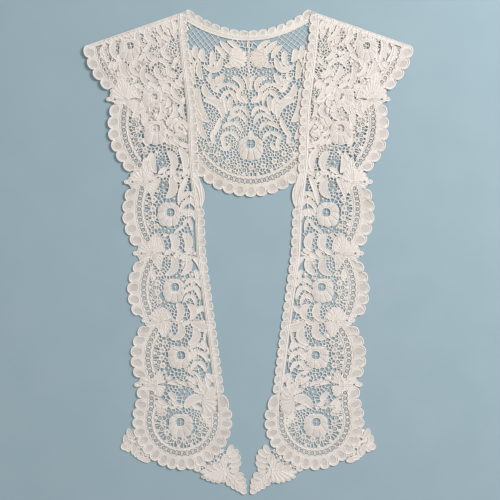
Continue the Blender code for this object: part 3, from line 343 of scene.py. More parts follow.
# Ground: size of a cell, seed, radius of a bar
FRONT_GROUND = (3.3, 3, 0.42)
BACK_GROUND = (3.2, 5, 0.44)
SPRAY_GROUND = (2.6, 4, 0.4)
SCATTERED = 0.25              # share of the fronts' close cells that are open too
LEAFLETS = (6.8, 7)           # their size and seed
FEWEST = 40                   # places of the fine grid that a band of them needs
RNG = np.random.default_rng(11)

# ---- Finishes ----
ROW_PITCH = 0.00085
STITCH_PITCH = 0.0007
CORD_PLY = 0.0011
BAR_PLY = 0.0008
# Shades of thread: name, slot, then the colours of clothwork, cords and bars, light to dark
SHADES = (
    ("front", "lace_thread", ((0.85, 0.79, 0.74), (0.75, 0.69, 0.63), (0.60, 0.55, 0.50)),
     ((0.91, 0.86, 0.82), (0.76, 0.70, 0.64)), ((0.90, 0.86, 0.82), (0.77, 0.72, 0.67))),
    ("back", "shaded_thread", ((0.84, 0.78, 0.72), (0.73, 0.66, 0.59), (0.58, 0.52, 0.46)),
     ((0.90, 0.85, 0.80), (0.75, 0.68, 0.61)), ((0.90, 0.86, 0.81), (0.77, 0.71, 0.65))),
    ("edging", "edging_thread", ((0.87, 0.82, 0.77), (0.77, 0.72, 0.66), (0.62, 0.57, 0.52)),
     ((0.91, 0.87, 0.83), (0.78, 0.72, 0.66))),
)

# ---- Floor, light and camera ----
FLOOR = 3.0                   # half its width, in metres
FLOOR_DROP = 0.0002           # how far it lies below the lace
SKY = 0.34
# Lamps: name, place, size, power
LAMPS = (("key", (1.6, 1.0, 1.45), 0.7, 53.0), ("fill", (-1.2, -0.8, 2.2), 2.0, 12.0))
FOCAL_LENGTH = 85.0           # in millimetres, as is the sensor
SENSOR = 36.0
VIEW_CENTRE = (0.00255, 0.0029)
VIEW_WIDTH = 500 * SQUARE


# ---- Lines on the chart ----
def square_to(step):
    """A step turned by a right angle."""
    return np.stack([step[..., 1], -step[..., 0]], axis=-1)


def rays(turns):
    """Steps of one square in some directions."""
    return np.stack([np.cos(turns), np.sin(turns)], axis=-1)


def ring_of(count, centre=(0, 0), radius=1.0):
    """Points evenly round a centre."""
    return np.array(centre) + radius * rays(np.linspace(0, 2 * np.pi, count + 1)[:-1])


def axes_at(turn):
    """Two directions square to each other, the first at an angle."""
    return np.array(((math.cos(turn), math.sin(turn)), (-math.sin(turn), math.cos(turn))))


class Line:
    """A line on the chart. Places along it run from 0 to 1 by length."""

    def __init__(self, points):
        self.points = np.array([tuple(p) for p in points], float)
        self.run = np.append(0, np.cumsum(np.hypot(*np.diff(self.points, axis=0).T)))
        self.length = float(self.run[-1])

    def at(self, places, inward=0.0):
        """The points at some places, each shifted inward by a distance."""
        where = np.asarray(places, float) * self.length
        found = np.stack([np.interp(where, self.run, self.points[:, k]) for k in (0, 1)], axis=-1)
        if np.any(inward):
            found = found + self.inward(places) * np.asarray(inward)[..., None]
        return found

    def inward(self, places):
        """The direction square to the line that looks toward the inside of the collar."""
        step = 1.2 / max(self.length, 1)
        along = self.at(np.minimum(places + step, 1)) - self.at(np.maximum(places - step, 0))
        return -square_to(along / np.linalg.norm(along, axis=-1, keepdims=True))


def bowed(start, end, bow, past=0.0):
    """A bowed line that runs past both of its ends by a share of its length."""
    start, span = np.array(start, float), np.subtract(end, start)
    t = np.linspace(-past, 1 + past, 60)[:, None]
    return Line(start + span * t + square_to(span) / np.linalg.norm(span) * (4 * t * (1 - t) * bow))


def softened(points):
    """A line through points with its corners cut twice."""
    points = np.array([tuple(p) for p in points], float)
    for _ in range(2):
        cuts = np.stack([points[:-1] * 0.75 + points[1:] * 0.25,
                         points[:-1] * 0.25 + points[1:] * 0.75], axis=1).reshape(-1, 2)
        points = np.vstack([points[:1], cuts[1:-1], points[-1:]])
    return Line(points)


def round_line(centre, radius, turn):
    """Part of a circle. Zero degrees is outward from the centre line, ninety is down."""
    return Line(np.array(centre) + radius * rays(np.radians(np.linspace(*turn, 120))))


def neck_line(col, row, dip):
    """Along the neck, from left to right."""
    return bowed((-col, row), (col, row), -dip)


def edge_column(row):
    """The column of the fronts' inner edge at some rows."""
    return np.interp(row, INNER_EDGE_ROWS, INNER_EDGE_COLS)


def inner_line(first_row, last_row, inward=0.0):
    """Along the fronts' inner edge, shifted outward from the centre line."""
    rows = np.linspace(first_row, last_row, 80)
    return Line(np.stack([edge_column(rows) + inward, rows], axis=-1))


def covered(points, outline):
    """Which of the points lie inside an outline."""
    after = np.concatenate([outline[1:], outline[:1]])
    slanted = outline[:, 1] != after[:, 1]
    (ax, ay), (bx, by) = outline[slanted].T, after[slanted].T
    slope = (bx - ax) / (by - ay)
    inside = np.zeros(len(points), bool)
    for first in range(0, len(points), BATCH):
        x, y = points[first:first + BATCH, :1], points[first:first + BATCH, 1:]
        crossing = ((ay > y) != (by > y)) & (x < ax + slope * (y - ay))
        inside[first:first + BATCH] = crossing.sum(axis=1) % 2
    return inside


def squareness(ray):
    """How far a rounded square reaches in some directions, as a share of half its width."""
    return (np.abs(ray) ** 2.7).sum(axis=1) ** (-1 / 2.7)


def under_any(points, outlines):
    """Which of the points lie inside any of the outlines."""
    found = np.zeros(len(points), bool)
    for outline in outlines:
        low, high = outline.min(axis=0), outline.max(axis=0)
        near = np.all((points >= low) & (points <= high), axis=1)
        if near.any():
            found[near] |= covered(points[near], outline)
    return found


# ---- Lace as it is drawn, before it is laid ----
class Lace:
    """The clothwork, cords and ground of one piece, drawn on the chart.

    The ground keeps clear of the outlines, and the leaflets of the rings too.
    """

    def __init__(self):
        self.patches = []
        self.cords = []
        self.ground = []
        self.knots = []
        self.outlines = []
        self.rings = []

    # -- clothwork --
    def patch(self, grid, height, gauze=0.0, outline=None):
        """A patch of clothwork from a grid of chart points. Gauze is 0 where it is dense."""
        shape = grid.shape[:2]
        along, across = (np.linalg.norm(np.diff(grid, axis=k, prepend=grid.take([0], k)),
                                        axis=-1).cumsum(axis=k) for k in (0, 1))
        spread = np.stack([along, across - across[:, [shape[1] // 2]]], axis=-1) * SQUARE
        index = np.arange(shape[0] * shape[1]).reshape(shape)
        quads = np.stack([index[:-1, :-1], index[1:, :-1], index[1:, 1:], index[:-1, 1:]], -1)
        self.sheet(grid.reshape(-1, 2), np.broadcast_to(height, shape).ravel(),
                   quads.reshape(-1, 4).tolist(), spread.reshape(-1, 2),
                   np.broadcast_to(gauze, shape).ravel())
        if outline is not None:
            self.outlines.append(outline)

    def sheet(self, points, height, faces, spread, gauze):
        """Clothwork from chart points, their heights and faces. Its tone is drawn."""
        self.patches.append((np.column_stack([points, height]), faces, spread, gauze, RNG.random()))

    def cord(self, points, radius, level=CORD_LEVEL, closed=False):
        """A raised cord of a radius in squares through points on the chart."""
        self.cords.append((self.thread(points, radius, level), radius, closed))

    def bar(self, points, radius, closed=False):
        """A bar of the ground, lower and finer than a cord."""
        self.ground.append((self.thread(points, radius, BAR_LEVEL), radius, closed))

    def thread(self, points, radius, level):
        """The middle of a thread laid by hand, clear of the surface."""
        points = np.asarray(points, float)
        points = points + RNG.normal(0, UNEVEN, points.shape)
        height = max(level, radius * SQUARE * 0.95)
        return np.column_stack([points, np.full(len(points), height)])

    def knot(self, point, radius, level=BAR_LEVEL):
        self.knots.append(((*point, max(level, radius * SQUARE * KNOT_HEIGHT)), radius))

    def leaf(self, stem_col, stem_row, tip_col, tip_row, width, bow, rim=None, widest=0.46,
             point=0.62):
        """A leaf of clothwork, its middle line bowed by a share of its length."""
        stem = np.array((stem_col, stem_row))
        span = (tip_col, tip_row) - stem
        turns = np.linspace(0, np.pi, int(np.clip(np.linalg.norm(span) / 1.7, 6, 14)) + 1)
        t = 0.5 - 0.5 * np.cos(turns[:, None])
        swell = t ** (math.log(0.5) / math.log(widest))
        self.blade(stem + span * t + square_to(span) * bow * 4 * t * (1 - t),
                   width * np.maximum(0, 1 - (2 * swell - 1) ** 2) ** point, width, rim)

    def arch(self, apex_col, apex_row, foot_col, foot_row, other_col, other_row, width):
        """Two leaves that meet at an apex, their feet given from there."""
        t = np.linspace(-1, 1, 17)[:, None]
        reach = np.abs(t)
        foot = np.where(t < 0, (foot_col, foot_row), (other_col, other_row))
        bend = np.hstack([np.sin(reach * 1.35) / math.sin(1.35), reach ** 1.9])
        waist = 1 - 0.55 * np.exp(-(t / 0.13) ** 2)
        self.blade((apex_col, apex_row) + foot * bend, width * 1.12 * np.cos(1.5 * t) ** 0.5 * waist,
                   width)

    def garland(self, arches, side=1):
        """Arches in a row, with a stem from each apex to the next."""
        for col, row, foot_col, foot_row, other_col, other_row, width in arches:
            self.arch(side * col, row, side * foot_col, foot_row, side * other_col, other_row, width)
        for first, last in zip(arches, arches[1:]):
            if 0 < last[1] - first[1] < 12:
                middle = (first[0] * 0.7 + last[0] * 0.3, (first[1] + last[1]) / 2)
                self.cord([(side * col, row) for col, row in (first[:2], middle, last[:2])],
                          RIM_CORD)

    def blade(self, middle, wide, width, rim=None):
        """Clothwork along a middle line, hollowed to each side of a vein, with a corded rim."""
        along = np.gradient(middle, axis=0)
        across = square_to(along / np.linalg.norm(along, axis=1, keepdims=True))
        half = np.maximum(0.5 * wide, 0.12)
        edge = across * half
        sides = np.linspace(-1, 1, 7 if width > 4 else 5)
        grid = middle[:, None] + across[:, None] * (half * sides)[..., None]
        hollow = 0.8 * sides ** 2 - 0.35 * np.exp(-(sides / 0.22) ** 2) + 0.35
        gauze = 0.5 * np.clip(1.15 - (sides / 0.8) ** 2, 0, 1) * (width > 5.5)
        self.patch(grid, CLOTH_LEVEL + DOME * (1.0 if width > 4.5 else 0.75) * hollow,
                   gauze * np.clip(wide / width, 0, 1),
                   np.vstack([middle + edge, (middle - edge)[::-1]]))
        rim = rim or (RIM_CORD if width > 5 else THIN_RIM)
        inner = 1 - min(0.5, rim * 0.8 / width)
        self.cord(np.vstack([middle + edge * inner, (middle - edge * inner)[-2:0:-1]]), rim,
                  RIM_LEVEL, closed=True)
        if width > 3:
            self.cord(middle[:-1], FINE, VEIN_LEVEL)

    def floret(self, centre, eye=0.8, radius=FLORET_RADIUS, lobes=5, depth=0.2, sides=25, knot=0.6):
        """A small flower with round lobes and a knot in its eye."""
        turns = np.linspace(0, 2 * np.pi, sides + 1)
        steps = np.linspace(0, 1, 4)
        reach = radius * (1 - depth * (0.5 + 0.5 * np.cos(lobes * turns)))[:, None]
        grid = np.array(centre) + rays(turns)[:, None] * (eye + (reach - eye) * steps)[..., None]
        height = CLOTH_LEVEL + DOME * 1.5 * np.sin(np.pi * (0.12 + 0.76 * steps))
        self.patch(grid, height, 0.0, grid[:-1, -1])
        self.knot(centre, knot, CLOTH_LEVEL)

    def eyelet(self, centre):
        """A corded hole with thin bars crossing at a knot."""
        ring = ring_of(12, centre, EYELET_RADIUS)
        self.cord(ring, EDGE_CORD, closed=True)
        self.outlines.append(ring)
        self.rings.append(ring)
        self.spokes(centre, EYELET_RADIUS, 6, 0.5)

    def spokes(self, centre, radius, number, knot, first=None):
        """Thin bars from a knot to the rim of a hole."""
        first = RNG.random() if first is None else first
        for turn in np.arange(number) * 2 * np.pi / number + first:
            self.bar([centre, np.array(centre) + radius * axes_at(turn)[0]], FINE)
        self.knot(centre, knot)

    def wheel(self, col, row, radius):
        """A spider wheel: spokes from a woven knot, and a thread round them."""
        self.spokes((col, row), radius, 8, 1.1)
        ring = ring_of(16, (col, row), radius)
        self.bar(ring, 0.24, closed=True)
        self.outlines.append(ring)
        self.rings.append(ring)

    def flower(self, eye_col, eye_row, eye_radius, col, row, half_width, half_height, petals=9):
        """A large flower: petals round an eye with a star of bars, the upper ones run together."""
        eye = np.array((eye_col, eye_row))
        steps, sides = np.linspace(0, 1, 7)[:, None], np.linspace(-1, 1, 7)
        swell = (1 - 0.22 * np.abs(sides) ** 2) * np.sin(np.pi * (0.18 + 0.64 * steps))
        gauze = 0.45 * (np.sin(np.pi * steps) * (1 - sides ** 2))
        outline = []
        for petal in range(petals):
            turns = 2 * np.pi * (petal + 0.5) / petals - np.pi / 2 + sides * np.pi / petals
            ray = rays(turns)
            square = squareness(ray)
            lobed = 0.04 + 0.06 / (1 + np.exp(-6 * (np.sin(turns) + 0.5)))
            reach = square * (1 - lobed * np.abs(sides) ** 2.5)
            tip = (col, row) + ray * (half_width, half_height) * reach[:, None]
            foot = eye + ray * (eye_radius + 0.6) * square[:, None]
            grid = foot + (tip - foot) * steps[..., None]
            self.patch(grid, VEIN_LEVEL + FLOWER_DOME * swell, gauze)
            self.cord(tip, RIM_CORD, PETAL_LEVEL)
            self.cord(grid[3:, 0], 0.16, SEAM_LEVEL)
            outline.append(tip[:-1])
        self.outlines.append(np.concatenate(outline))
        circle = ring_of(16)
        circle *= squareness(circle)[:, None]
        self.cord(eye + (eye_radius + 0.4) * circle, 0.55, PETAL_LEVEL, closed=True)
        self.cord(eye + (eye_radius + 2.6) * circle, 0.22, EYE_LEVEL, closed=True)
        self.spokes(eye, eye_radius, 4, 0.9, math.radians(6))

    def fan(self, pinch, edge, ribs):
        """A shell of close ribs that run together where they are tied."""
        across = np.arange(6 * ribs + 1) / (6 * ribs)
        ridge = np.sin(np.pi * (across * ribs % 1.0))
        steps = np.linspace(0.05, 1, 8)[:, None]
        reach = steps * (1 - 0.09 * (1 - ridge) ** 1.6)
        grid = pinch + (softened(edge).at(across) - pinch) * reach[..., None]
        swell = np.sin(np.pi * (0.12 + 0.76 * steps))
        self.patch(grid, CLOTH_LEVEL + DOME * (0.3 + 1.5 * swell * ridge), 0.0,
                   np.vstack([pinch, grid[-1]]))
        self.cord(grid[-1], FAN_RIM, RIM_LEVEL)
        for rib in range(ribs):
            self.cord(grid[2:-1, 6 * rib + 3], FINE, RIB_LEVEL)

    # -- bands --
    def strip(self, line, near, far, first=0.0, last=1.0):
        """A strip of clothwork along a line, between two distances inward of it."""
        along = np.linspace(first, last, int(line.length * (last - first) / STRIP_STEP))
        grid = np.stack([line.at(along, shift) for shift in np.linspace(near, far, 4)], axis=1)
        crown = np.sin(np.pi * np.linspace(0.1, 0.9, 4))
        self.patch(grid, CLOTH_LEVEL + 0.5 * DOME * crown, 0.0,
                   np.concatenate([grid[:, 0], grid[::-1, -1]]))

    def line_cord(self, line, inward, radius, level=CORD_LEVEL):
        along = np.linspace(0, 1, int(line.length / CORD_STEP))
        self.cord(line.at(along, inward), radius, level)

    def scallops(self, cord, tips, count, lobe, rim, rib):
        """Scallops between a cord and a line of tips: each a window of gauze in close work."""
        large = lobe > 3
        steps = np.linspace(0, 1, 13 if large else 9)
        rows = np.linspace(0, 1, 9 if large else 6)[:, None]
        x = 2 * steps - 1
        dip = lobe * (1 - np.sqrt(np.maximum(0, 1 - x * x)))
        middle, half_height, half_width = WINDOW
        off = (x / 0.72) ** 2 + ((rows - middle) / half_height) ** 2
        gauze = np.clip(2.4 * (1.15 - off), 0, 1)
        height = CLOTH_LEVEL + DOME * (0.8 - 0.6 * np.clip(1.4 - off, 0, 1) + 0.35 * np.abs(x) ** 4)
        window = ring_of(14 if large else 10)
        rims = []
        for k in range(count):
            base = cord.at((k + steps) / count)
            outer = tips.at((k + steps) / count, dip + rim * 0.6)
            self.patch(base + (outer - base) * rows[..., None], height, gauze)
            places = (k + 0.5 + half_width * window[:, 0]) / count
            low, high = cord.at(places), tips.at(places, rim)
            self.cord(low + (high - low) * (middle + half_height * window[:, 1:]),
                      0.28 if large else 0.22, WINDOW_LEVEL, closed=True)
            rims.append(outer)
            self.rib(base[0], outer[0], rib)
        self.rib(cord.at(1), outer[-1], rib)
        self.cord(np.concatenate(rims), rim, SCALLOP_LEVEL)

    def rib(self, start, end, width):
        """The thick bar between two scallops, wider at its foot."""
        span = end - start
        steps = np.linspace(0, 1, 5)[:, None]
        sides = np.linspace(-1, 1, 5)
        half = (width * (1.25 - 0.6 * steps) * sides)[..., None]
        across = square_to(span) / max(np.linalg.norm(span), 1e-6)
        self.patch((start + span * steps)[:, None] + across * half,
                   CLOTH_LEVEL + DOME * (1.25 - 0.9 * sides ** 2))

    def ladder(self, line):
        """Two cords with rings of thread between them, each filled with gauze."""
        for inward in (-LADDER_HALF, LADDER_HALF):
            self.line_cord(line, inward, LADDER_CORD, RIM_LEVEL)
        number = round(line.length / RING_PITCH)
        circle = ring_of(12)
        for k in range(number):
            place = (k + 0.5) / number
            centre, inward = line.at(place), line.inward(place)
            along = square_to(inward)
            ring = RING_HALF * (circle[:, :1] * along + RING_STRETCH * circle[:, 1:] * inward)
            self.cord(centre + ring, RIM_CORD, RING_LEVEL, closed=True)
            disc = np.vstack([ring, ring[:1]])
            self.patch(centre + disc * np.array((0.08, 0.5))[:, None, None], GAUZE_LEVEL, 0.5)
            edge = centre + along * RING_PITCH / 2
            self.bar([edge - inward * LADDER_HALF, edge + inward * LADDER_HALF], 0.3)

    def fillings(self, line, number, first=0.0, last=1.0):
        """Florets and eyelets in turn inside a ladder, tied to its cord by wedges."""
        self.strip(line, LADDER_HALF + 0.2, LADDER_HALF + 2.3, first, last)
        for step in range(2 * number - 1):
            place = first + (last - first) * (step + 1) / (2 * number)
            if step % 2:
                self.eyelet(line.at(place, EYELET_IN))
                self.rib(line.at(place, TIED), line.at(place, EYELET_IN - EYELET_RADIUS),
                         EYELET_WEDGE)
            else:
                self.floret(line.at(place, FLORET_IN))
                for side in (-1, 1):
                    spread = place + side * 2.2 / line.length
                    self.rib(line.at(spread, TIED),
                             line.at(spread * 0.75 + place * 0.25, FLORET_IN - 2.8), FLORET_WEDGE)

    def bud(self, col, row):
        """A bud in the notch between two bays."""
        self.leaf(col - 7.0, row, col, row, 4.2, 0.02, 0.5, 0.6, 0.5)
        self.knot((col - 2.2, row), 1.0, BUD_LEVEL)

    def sheaves(self, bud, above, below):
        """Two fans tied at a bud's row, between the bays above and below, and their stitches."""
        pinch, notch = np.array(bud) - (19, 0), np.array(bud) - (4, 0)
        for (ladder, tips), end, way in ((above, 1.0, -1), (below, 0.0, 1)):
            back = -way / ladder.length
            corner = tips.at(end, WIDE_SCALLOP[0] + 0.6)
            edge = [notch + (0, way), (notch * 0.6 + corner * 0.4) + (0.8, 0),
                    corner - (0, way * 0.4), ladder.at(end, -LADDER_HALF - 2), ladder.at(end, 0.5),
                    ladder.at(end - 3.4 * back, 5), ladder.at(end - 6.8 * back, 10.5),
                    pinch + (-10, way * 9), pinch + (-12, way * 1.5)]
            self.fan(pinch - (0, way * 0.4), edge[::way], 11)
        for shift in (-1.4, 0, 1.4):
            self.cord([pinch + (-4, shift * 0.4), pinch + (2, shift), notch + (-5, shift * 0.5)],
                      THIN_RIM, STITCH_LEVEL)

    # -- ground --
    def between(self, region, gaps, ground, avoid=(), scattered=0.0):
        """Between the motifs: close work, and in the gaps fine bars that meet in threes."""
        pitch, seed, radius = ground
        motifs = [*self.outlines, *avoid]
        seeds = spread_seeds(free_places(region, motifs), pitch, seed)
        holes = in_any_oval(seeds, gaps) | (RNG.random(len(seeds)) < scattered)
        self.close_work(region, seeds, holes, pitch)
        triangles, corners = round_triangles(seeds)
        sides = {}
        for k, triangle in enumerate(triangles):
            for a, b in zip(triangle, (*triangle[1:], triangle[0])):
                if holes[a] or holes[b]:
                    sides.setdefault((min(a, b), max(a, b)), []).append(k)
        ends = corners[np.array([ks for ks in sides.values() if len(ks) == 2], int).reshape(-1, 2)]
        ends = ends[np.linalg.norm(ends[:, 1] - ends[:, 0], axis=1) < pitch * 3]
        places = ends[:, :1] + (ends[:, 1:] - ends[:, :1]) * np.linspace(0, 1, 13)[None, :, None]
        flat = places.reshape(-1, 2)
        seen = (covered(flat, region) & ~under_any(flat, motifs)).reshape(len(ends), -1)
        for points, shown in zip(places, seen):
            turns = np.flatnonzero(np.diff(np.concatenate([[0], shown, [0]])))
            for first, last in zip(turns[::2], turns[1::2]):
                self.bar(points[[max(first - 1, 0), min(last, len(points) - 1)]],
                         radius * (0.85 + 0.4 * RNG.random()))
        for centre in np.unique(places[seen[:, 0], 0], axis=0):
            self.knot(centre, radius * (1.2 + 0.9 * RNG.random()))

    def close_work(self, region, seeds, holes, pitch):
        """One sheet of clothwork made of the cells round the seeds that aren't holes."""
        low, high = region.min(axis=0) - pitch * 2, region.max(axis=0) + pitch * 2
        xs, ys = np.meshgrid(*(np.arange(low[k], high[k], pitch * 0.85) for k in (0, 1)))
        others = np.column_stack([(xs + (ys // pitch % 2) * pitch * 0.4).ravel(), ys.ravel()])
        others = others[~covered(others, region) | under_any(others, self.outlines)]
        every = np.vstack([seeds, others])
        triangles, corners = round_triangles(every)
        triangles = np.array(triangles)
        corners = cut_back(every[triangles.min(axis=1)], corners, region)
        rings = {}
        for k, triangle in enumerate(triangles):
            for seed in triangle[triangle < len(seeds)]:
                if not holes[seed]:
                    rings.setdefault(seed, []).append(k)
        shapes = []
        for seed, ring in rings.items():
            off = corners[ring] - seeds[seed]
            shapes.append([ring[k] for k in np.argsort(np.arctan2(off[:, 1], off[:, 0]))])
        used = sorted({k for shape in shapes for k in shape})
        if used:
            number = {k: place for place, k in enumerate(used)}
            points = corners[used]
            self.sheet(points, CLOSE_LEVEL + 0.00012 * RNG.random(len(points)),
                       [[number[k] for k in shape] for shape in shapes], points * SQUARE,
                       np.zeros(len(points)))

    def leaflets(self, region, gaps, bands, pitch, seed):
        """Low leaves over the close work, that lean one way in a band."""
        motifs = list(self.outlines)
        places = free_places(region, motifs)
        places = places[~in_any_oval(places, gaps)]
        first_row = region[:, 1].min()
        for last_row, degrees in bands:
            free = places[(places[:, 1] >= first_row) & (places[:, 1] < last_row)]
            first_row = last_row
            if len(free) < FEWEST:
                continue
            turn = math.radians(degrees)
            lean = np.diag((1.45, 0.7)) @ axes_at(turn)
            for middle in spread_seeds(free @ lean.T, pitch, seed) @ np.linalg.inv(lean).T:
                turned = turn + RNG.normal(0, 0.22)
                half = pitch * (0.66 + 0.2 * RNG.random()) * axes_at(turned)[1]
                ends = cut_back(middle, np.array((middle - half, middle + half)), region)
                tests = np.vstack([ends, middle - half * 0.5, middle, middle + half * 0.5])
                if under_any(tests, motifs).sum() < 2 and not under_any(tests, self.rings).any():
                    self.leaf(*ends[0], *ends[1], pitch * 0.72, 0.2 * math.sin(middle[1] / 9), 0.32)


def round_triangles(seeds):
    """The triangles between seeds, and the middle of the circle through each."""
    points, _, triangles = delaunay_2d_cdt([Vector(p) for p in seeds], [], [], 0, 1e-6, False)[:3]
    points = np.array([tuple(p) for p in points])
    return triangles, middle_of_circle(points[np.array(triangles)])


def cut_back(start, ends, region):
    """Draw points back toward a start that lies inside a region until they lie inside too."""
    share = np.ones(len(ends))
    for step in (0.5, 0.25, 0.125, 0.0625):
        out = ~covered(start + (ends - start) * share[:, None], region)
        share = np.where(out, share - step, np.minimum(share + step * (share < 1), 1))
    return start + (ends - start) * share[:, None]


def middle_of_circle(corners):
    """The middle of the circle through three corners, for many triangles."""
    a, b, c = corners[:, 0], corners[:, 1], corners[:, 2]
    ab, ac = b - a, c - a
    double = 2 * (ab[:, 0] * ac[:, 1] - ab[:, 1] * ac[:, 0])
    double = np.where(np.abs(double) < 1e-9, 1e-9, double)
    ab2, ac2 = (ab ** 2).sum(axis=1), (ac ** 2).sum(axis=1)
    x = (ac[:, 1] * ab2 - ab[:, 1] * ac2) / double
    y = (ab[:, 0] * ac2 - ac[:, 0] * ab2) / double
    return a + np.stack([x, y], axis=-1)


def free_places(region, motifs):
    """A fine grid over what the motifs leave free."""
    xs, ys = np.meshgrid(*(np.arange(*ends, CELL_GRID)
                           for ends in zip(region.min(axis=0), region.max(axis=0))))
    free = np.column_stack([xs.ravel(), ys.ravel()])
    free = free[covered(free, region)]
    return free[~under_any(free, motifs)]


def in_any_oval(points, ovals):
    """Which of the points lie in any of the ovals."""
    found = np.zeros(len(points), bool)
    for col, row, half_width, half_height in ovals:
        off = (points - (col, row)) / (half_width, half_height)
        found |= (off ** 2).sum(axis=1) < 1
    return found


def spread_seeds(free, pitch, seed):
    """Middles for cells or holes, evenly spread over the free places."""
    rng = np.random.default_rng(seed)
    number = max(4, int(len(free) * CELL_GRID ** 2 / pitch ** 2))
    seeds = free[rng.choice(len(free), number, replace=False)]
    for _ in range(4):
        tree = KDTree(number)
        for k, place in enumerate(seeds):
            tree.insert((*place, 0), k)
        tree.balance()
        nearest = np.array([tree.find((x, y, 0))[1] for x, y in free])
        count = np.bincount(nearest, minlength=number)
        for axis in (0, 1):
            total = np.bincount(nearest, free[:, axis], minlength=number)
            seeds[:, axis] = np.where(count > 0, total / np.maximum(count, 1), seeds[:, axis])
    return seeds


# ---- Laying the lace ----
def sway(x, y):
    """The gentle rise and fall of cloth that was smoothed by hand."""
    slow = np.sin(x / 0.023 + 1.3 * np.sin(y / 0.05)) + np.sin(y / 0.034 + 0.9 * np.sin(x / 0.04))
    return SWAY * (0.5 + 0.25 * slow)


def lay_on_surface(points, side):
    """The back and its edging lie on the surface. The lower back leans to the right."""
    lean = BACK_LEAN * np.clip((points[:, 1] - LEAN_ROWS[0]) / np.ptp(LEAN_ROWS), 0, 1)
    x = (side * points[:, 0] + lean) * SQUARE
    y = (MID_ROW - points[:, 1]) * SQUARE
    return np.column_stack([x, y, points[:, 2] + sway(x, y) + crease(x, y)])


def crease(x, y):
    """The old fold down the middle of the back."""
    near = np.exp(-((x - 0.002) / 0.0016) ** 2)
    return 0.0009 * near * np.clip((y - 0.10) / 0.06, 0, 1) * np.clip((0.335 - y) / 0.01, 0, 1)


def lay_over_back(points, side):
    """The fronts wrap the shoulder, lie on the back and come down below it."""
    chart, height = points[:, :2], points[:, 2]
    share = np.clip((points[:, 1] - RAMP_ROWS[0]) / np.ptp(RAMP_ROWS), 0, 1)
    flat = LIFT * (1 - share * share * (3 - 2 * share)) + height
    past = (chart - CREASE) @ PAST_FOLD
    turn = np.clip(past / WRAP, 0, 1) * math.pi
    radius = FOLD_INNER + height
    moved = radius / SQUARE * np.sin(turn) - past - np.maximum(past - WRAP, 0)
    chart = np.where((past > 0)[:, None], chart + PAST_FOLD * moved[:, None], chart)
    z = np.where(past > 0, FOLD_OUTER + radius * np.cos(turn), flat)
    x = side * chart[:, 0] * SQUARE
    y = (MID_ROW - chart[:, 1]) * SQUARE
    return np.column_stack([x, y, z + sway(x, y)])


def add_object(name, data):
    """Put an object in the scene."""
    made = bpy.data.objects.new(name, data)
    bpy.context.scene.collection.objects.link(made)
    return made


def add_values(mesh, **layers):
    """Keep numbers at the points of a mesh."""
    for name, values in layers.items():
        layer = mesh.attributes.new(name, "FLOAT", "POINT")
        layer.data.foreach_set("value", np.asarray(values, np.float32))


def cloth_mesh(name, lace, lay, side, material):
    """One mesh of all the patches of a lace, laid face up."""
    verts, faces, tones = [], [], []
    for points, shapes, _, _, tone in lace.patches:
        points = lay(points, side)
        a, b, c = (points[[shape[k] for shape in shapes]] for k in (0, 1, -1))
        way = 1 if np.cross(b - a, c - a)[:, 2].sum() > 0 else -1
        faces += [[len(verts) + k for k in shape[::way]] for shape in shapes]
        verts += points.tolist()
        tones += [tone] * len(points)
    mesh = bpy.data.meshes.new(name)
    mesh.from_pydata(verts, [], faces)
    spreads, gauzes = (np.concatenate([patch[k] for patch in lace.patches]) for k in (2, 3))
    corners = np.zeros(len(mesh.loops), np.int32)
    mesh.loops.foreach_get("vertex_index", corners)
    weave = mesh.uv_layers.new(name="weave")
    weave.data.foreach_set("uv", spreads[corners].astype(np.float32).ravel())
    add_values(mesh, gauze=gauzes, tone=tones)
    mesh.shade_smooth()
    mesh.materials.append(material)
    piece = add_object(name, mesh)
    wall = piece.modifiers.new("thread", "SOLIDIFY")
    wall.thickness = CLOTH_THICKNESS
    wall.offset = -1
    return piece


